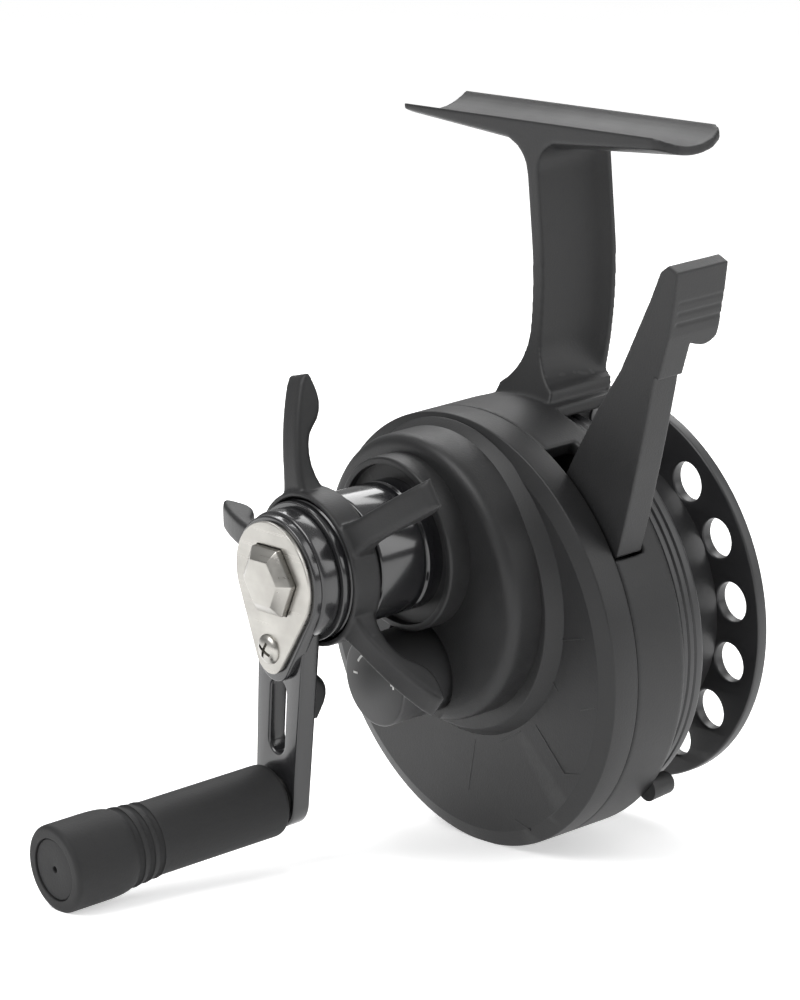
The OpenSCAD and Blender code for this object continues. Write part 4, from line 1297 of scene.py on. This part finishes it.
# %% floor
rest_a = Vector((0, -3, -housing_r - 0.05))
rest_b = Vector((knob_x, knob_front + 3, knob_z - knob_r - 0.05))
floor_up = right.cross(rest_b - rest_a).normalized()
if floor_up.z < 0:
    floor_up = -floor_up
side = floor_up.cross(Vector((0, 1, 0))).normalized()
ahead = floor_up.cross(side)
bm = bmesh.new()
reach = 3000
cells = 24
grid = []
for i in range(cells + 1):
    row = []
    for j in range(cells + 1):
        p = rest_a + side * (reach * (2 * i / cells - 1)) + ahead * (reach * (2 * j / cells - 1))
        row.append(bm.verts.new(place(*p)))
    grid.append(row)
for i in range(cells):
    for j in range(cells):
        bm.faces.new([grid[i][j], grid[i + 1][j], grid[i + 1][j + 1], grid[i][j + 1]])
floor = finish_mesh("floor", bm)
if floor.data.polygons[0].normal.dot(floor_up) < 0:
    floor.data.flip_normals()


def floor_finish():
    material, tree, shader = blank_material("pale_floor")
    grain = group_node(tree, grain_group, Grain_Scale=900.0, Cloud_Scale=6.0)
    colour = blended(tree, ranged(tree, grain.outputs["Cloud"], 0.0, 1.0),
                     (0.93, 0.93, 0.93), (0.95, 0.95, 0.95))
    tree.links.new(colour, shader.inputs["Base Color"])
    shader.inputs["Roughness"].default_value = 0.7
    shader.inputs["Specular IOR Level"].default_value = 0.2
    shader.inputs["Emission Color"].default_value = (1, 1, 1, 1)
    shader.inputs["Emission Strength"].default_value = 0.50
    facing = tree.nodes.new("ShaderNodeNewGeometry")
    clear = tree.nodes.new("ShaderNodeBsdfTransparent")
    choose = tree.nodes.new("ShaderNodeMixShader")
    tree.links.new(facing.outputs["Backfacing"], choose.inputs["Fac"])
    tree.links.new(shader.outputs["BSDF"], choose.inputs[1])
    tree.links.new(clear.outputs["BSDF"], choose.inputs[2])
    tree.links.new(choose.outputs["Shader"], tree.nodes["Material Output"].inputs["Surface"])
    return material


floor.data.materials.append(floor_finish())

# %% [markdown]
# The light is a white room with a big soft lamp high on the left and a weaker one on the right.
# The world is white for the camera and for the floor, and a little darker near the horizon for
# the reel, which keeps the black plastic black and leaves shape in it.

# %% world and lamps
world = bpy.data.worlds.new("studio")
bpy.context.scene.world = world
world.use_nodes = True
tree = world.node_tree
tree.nodes.clear()
where = tree.nodes.new("ShaderNodeTexCoord")
split = tree.nodes.new("ShaderNodeSeparateXYZ")
tree.links.new(where.outputs["Generated"], split.inputs["Vector"])
height = tree.nodes.new("ShaderNodeMapRange")
height.inputs["From Min"].default_value = -0.2
height.inputs["From Max"].default_value = 0.9
height.inputs["To Min"].default_value = 0.22
height.inputs["To Max"].default_value = 0.78
tree.links.new(split.outputs["Z"], height.inputs["Value"])
room = tree.nodes.new("ShaderNodeBackground")
tree.links.new(height.outputs["Result"], room.inputs["Strength"])
seen = tree.nodes.new("ShaderNodeBackground")
seen.inputs["Color"].default_value = (1, 1, 1, 1)
seen.inputs["Strength"].default_value = 1.0
ray = tree.nodes.new("ShaderNodeLightPath")
choose = tree.nodes.new("ShaderNodeMixShader")
tree.links.new(ray.outputs["Is Camera Ray"], choose.inputs["Fac"])
tree.links.new(room.outputs["Background"], choose.inputs[1])
tree.links.new(seen.outputs["Background"], choose.inputs[2])
out = tree.nodes.new("ShaderNodeOutputWorld")
tree.links.new(choose.outputs["Shader"], out.inputs["Surface"])


def softbox(name, where_mm, target_mm, width, height_m, power):
    light = bpy.data.lights.new(name, "AREA")
    light.shape = "RECTANGLE"
    light.size, light.size_y = width, height_m
    light.energy = power
    lamp = bpy.data.objects.new(name, light)
    lamp.location = place(*where_mm)
    aim = place(*target_mm) - lamp.location
    lamp.rotation_euler = aim.to_track_quat("-Z", "Y").to_euler()
    bpy.context.scene.collection.objects.link(lamp)
    return lamp


def from_camera(rightward, upward, towards):
    """A place in the studio, in millimetres to the right of, above and in front of the reel."""
    flat_back = Vector((back.x, back.y, 0)).normalized()
    return level * rightward + Vector((0, 0, 1)) * upward + flat_back * towards


centre = (0, -10, 5)
softbox("key", from_camera(-500, 900, 350), centre, 0.7, 0.7, 9.0)
softbox("fill", from_camera(800, 500, 200), centre, 0.5, 0.9, 4.0)
softbox("back", from_camera(150, 700, -700), centre, 0.9, 0.5, 6.0)
bpy.context.scene.view_settings.view_transform = "Standard"

# %% [markdown]
# Last, the number of pieces that were made is printed.

# %% count of pieces
print("pieces made:", len(made))
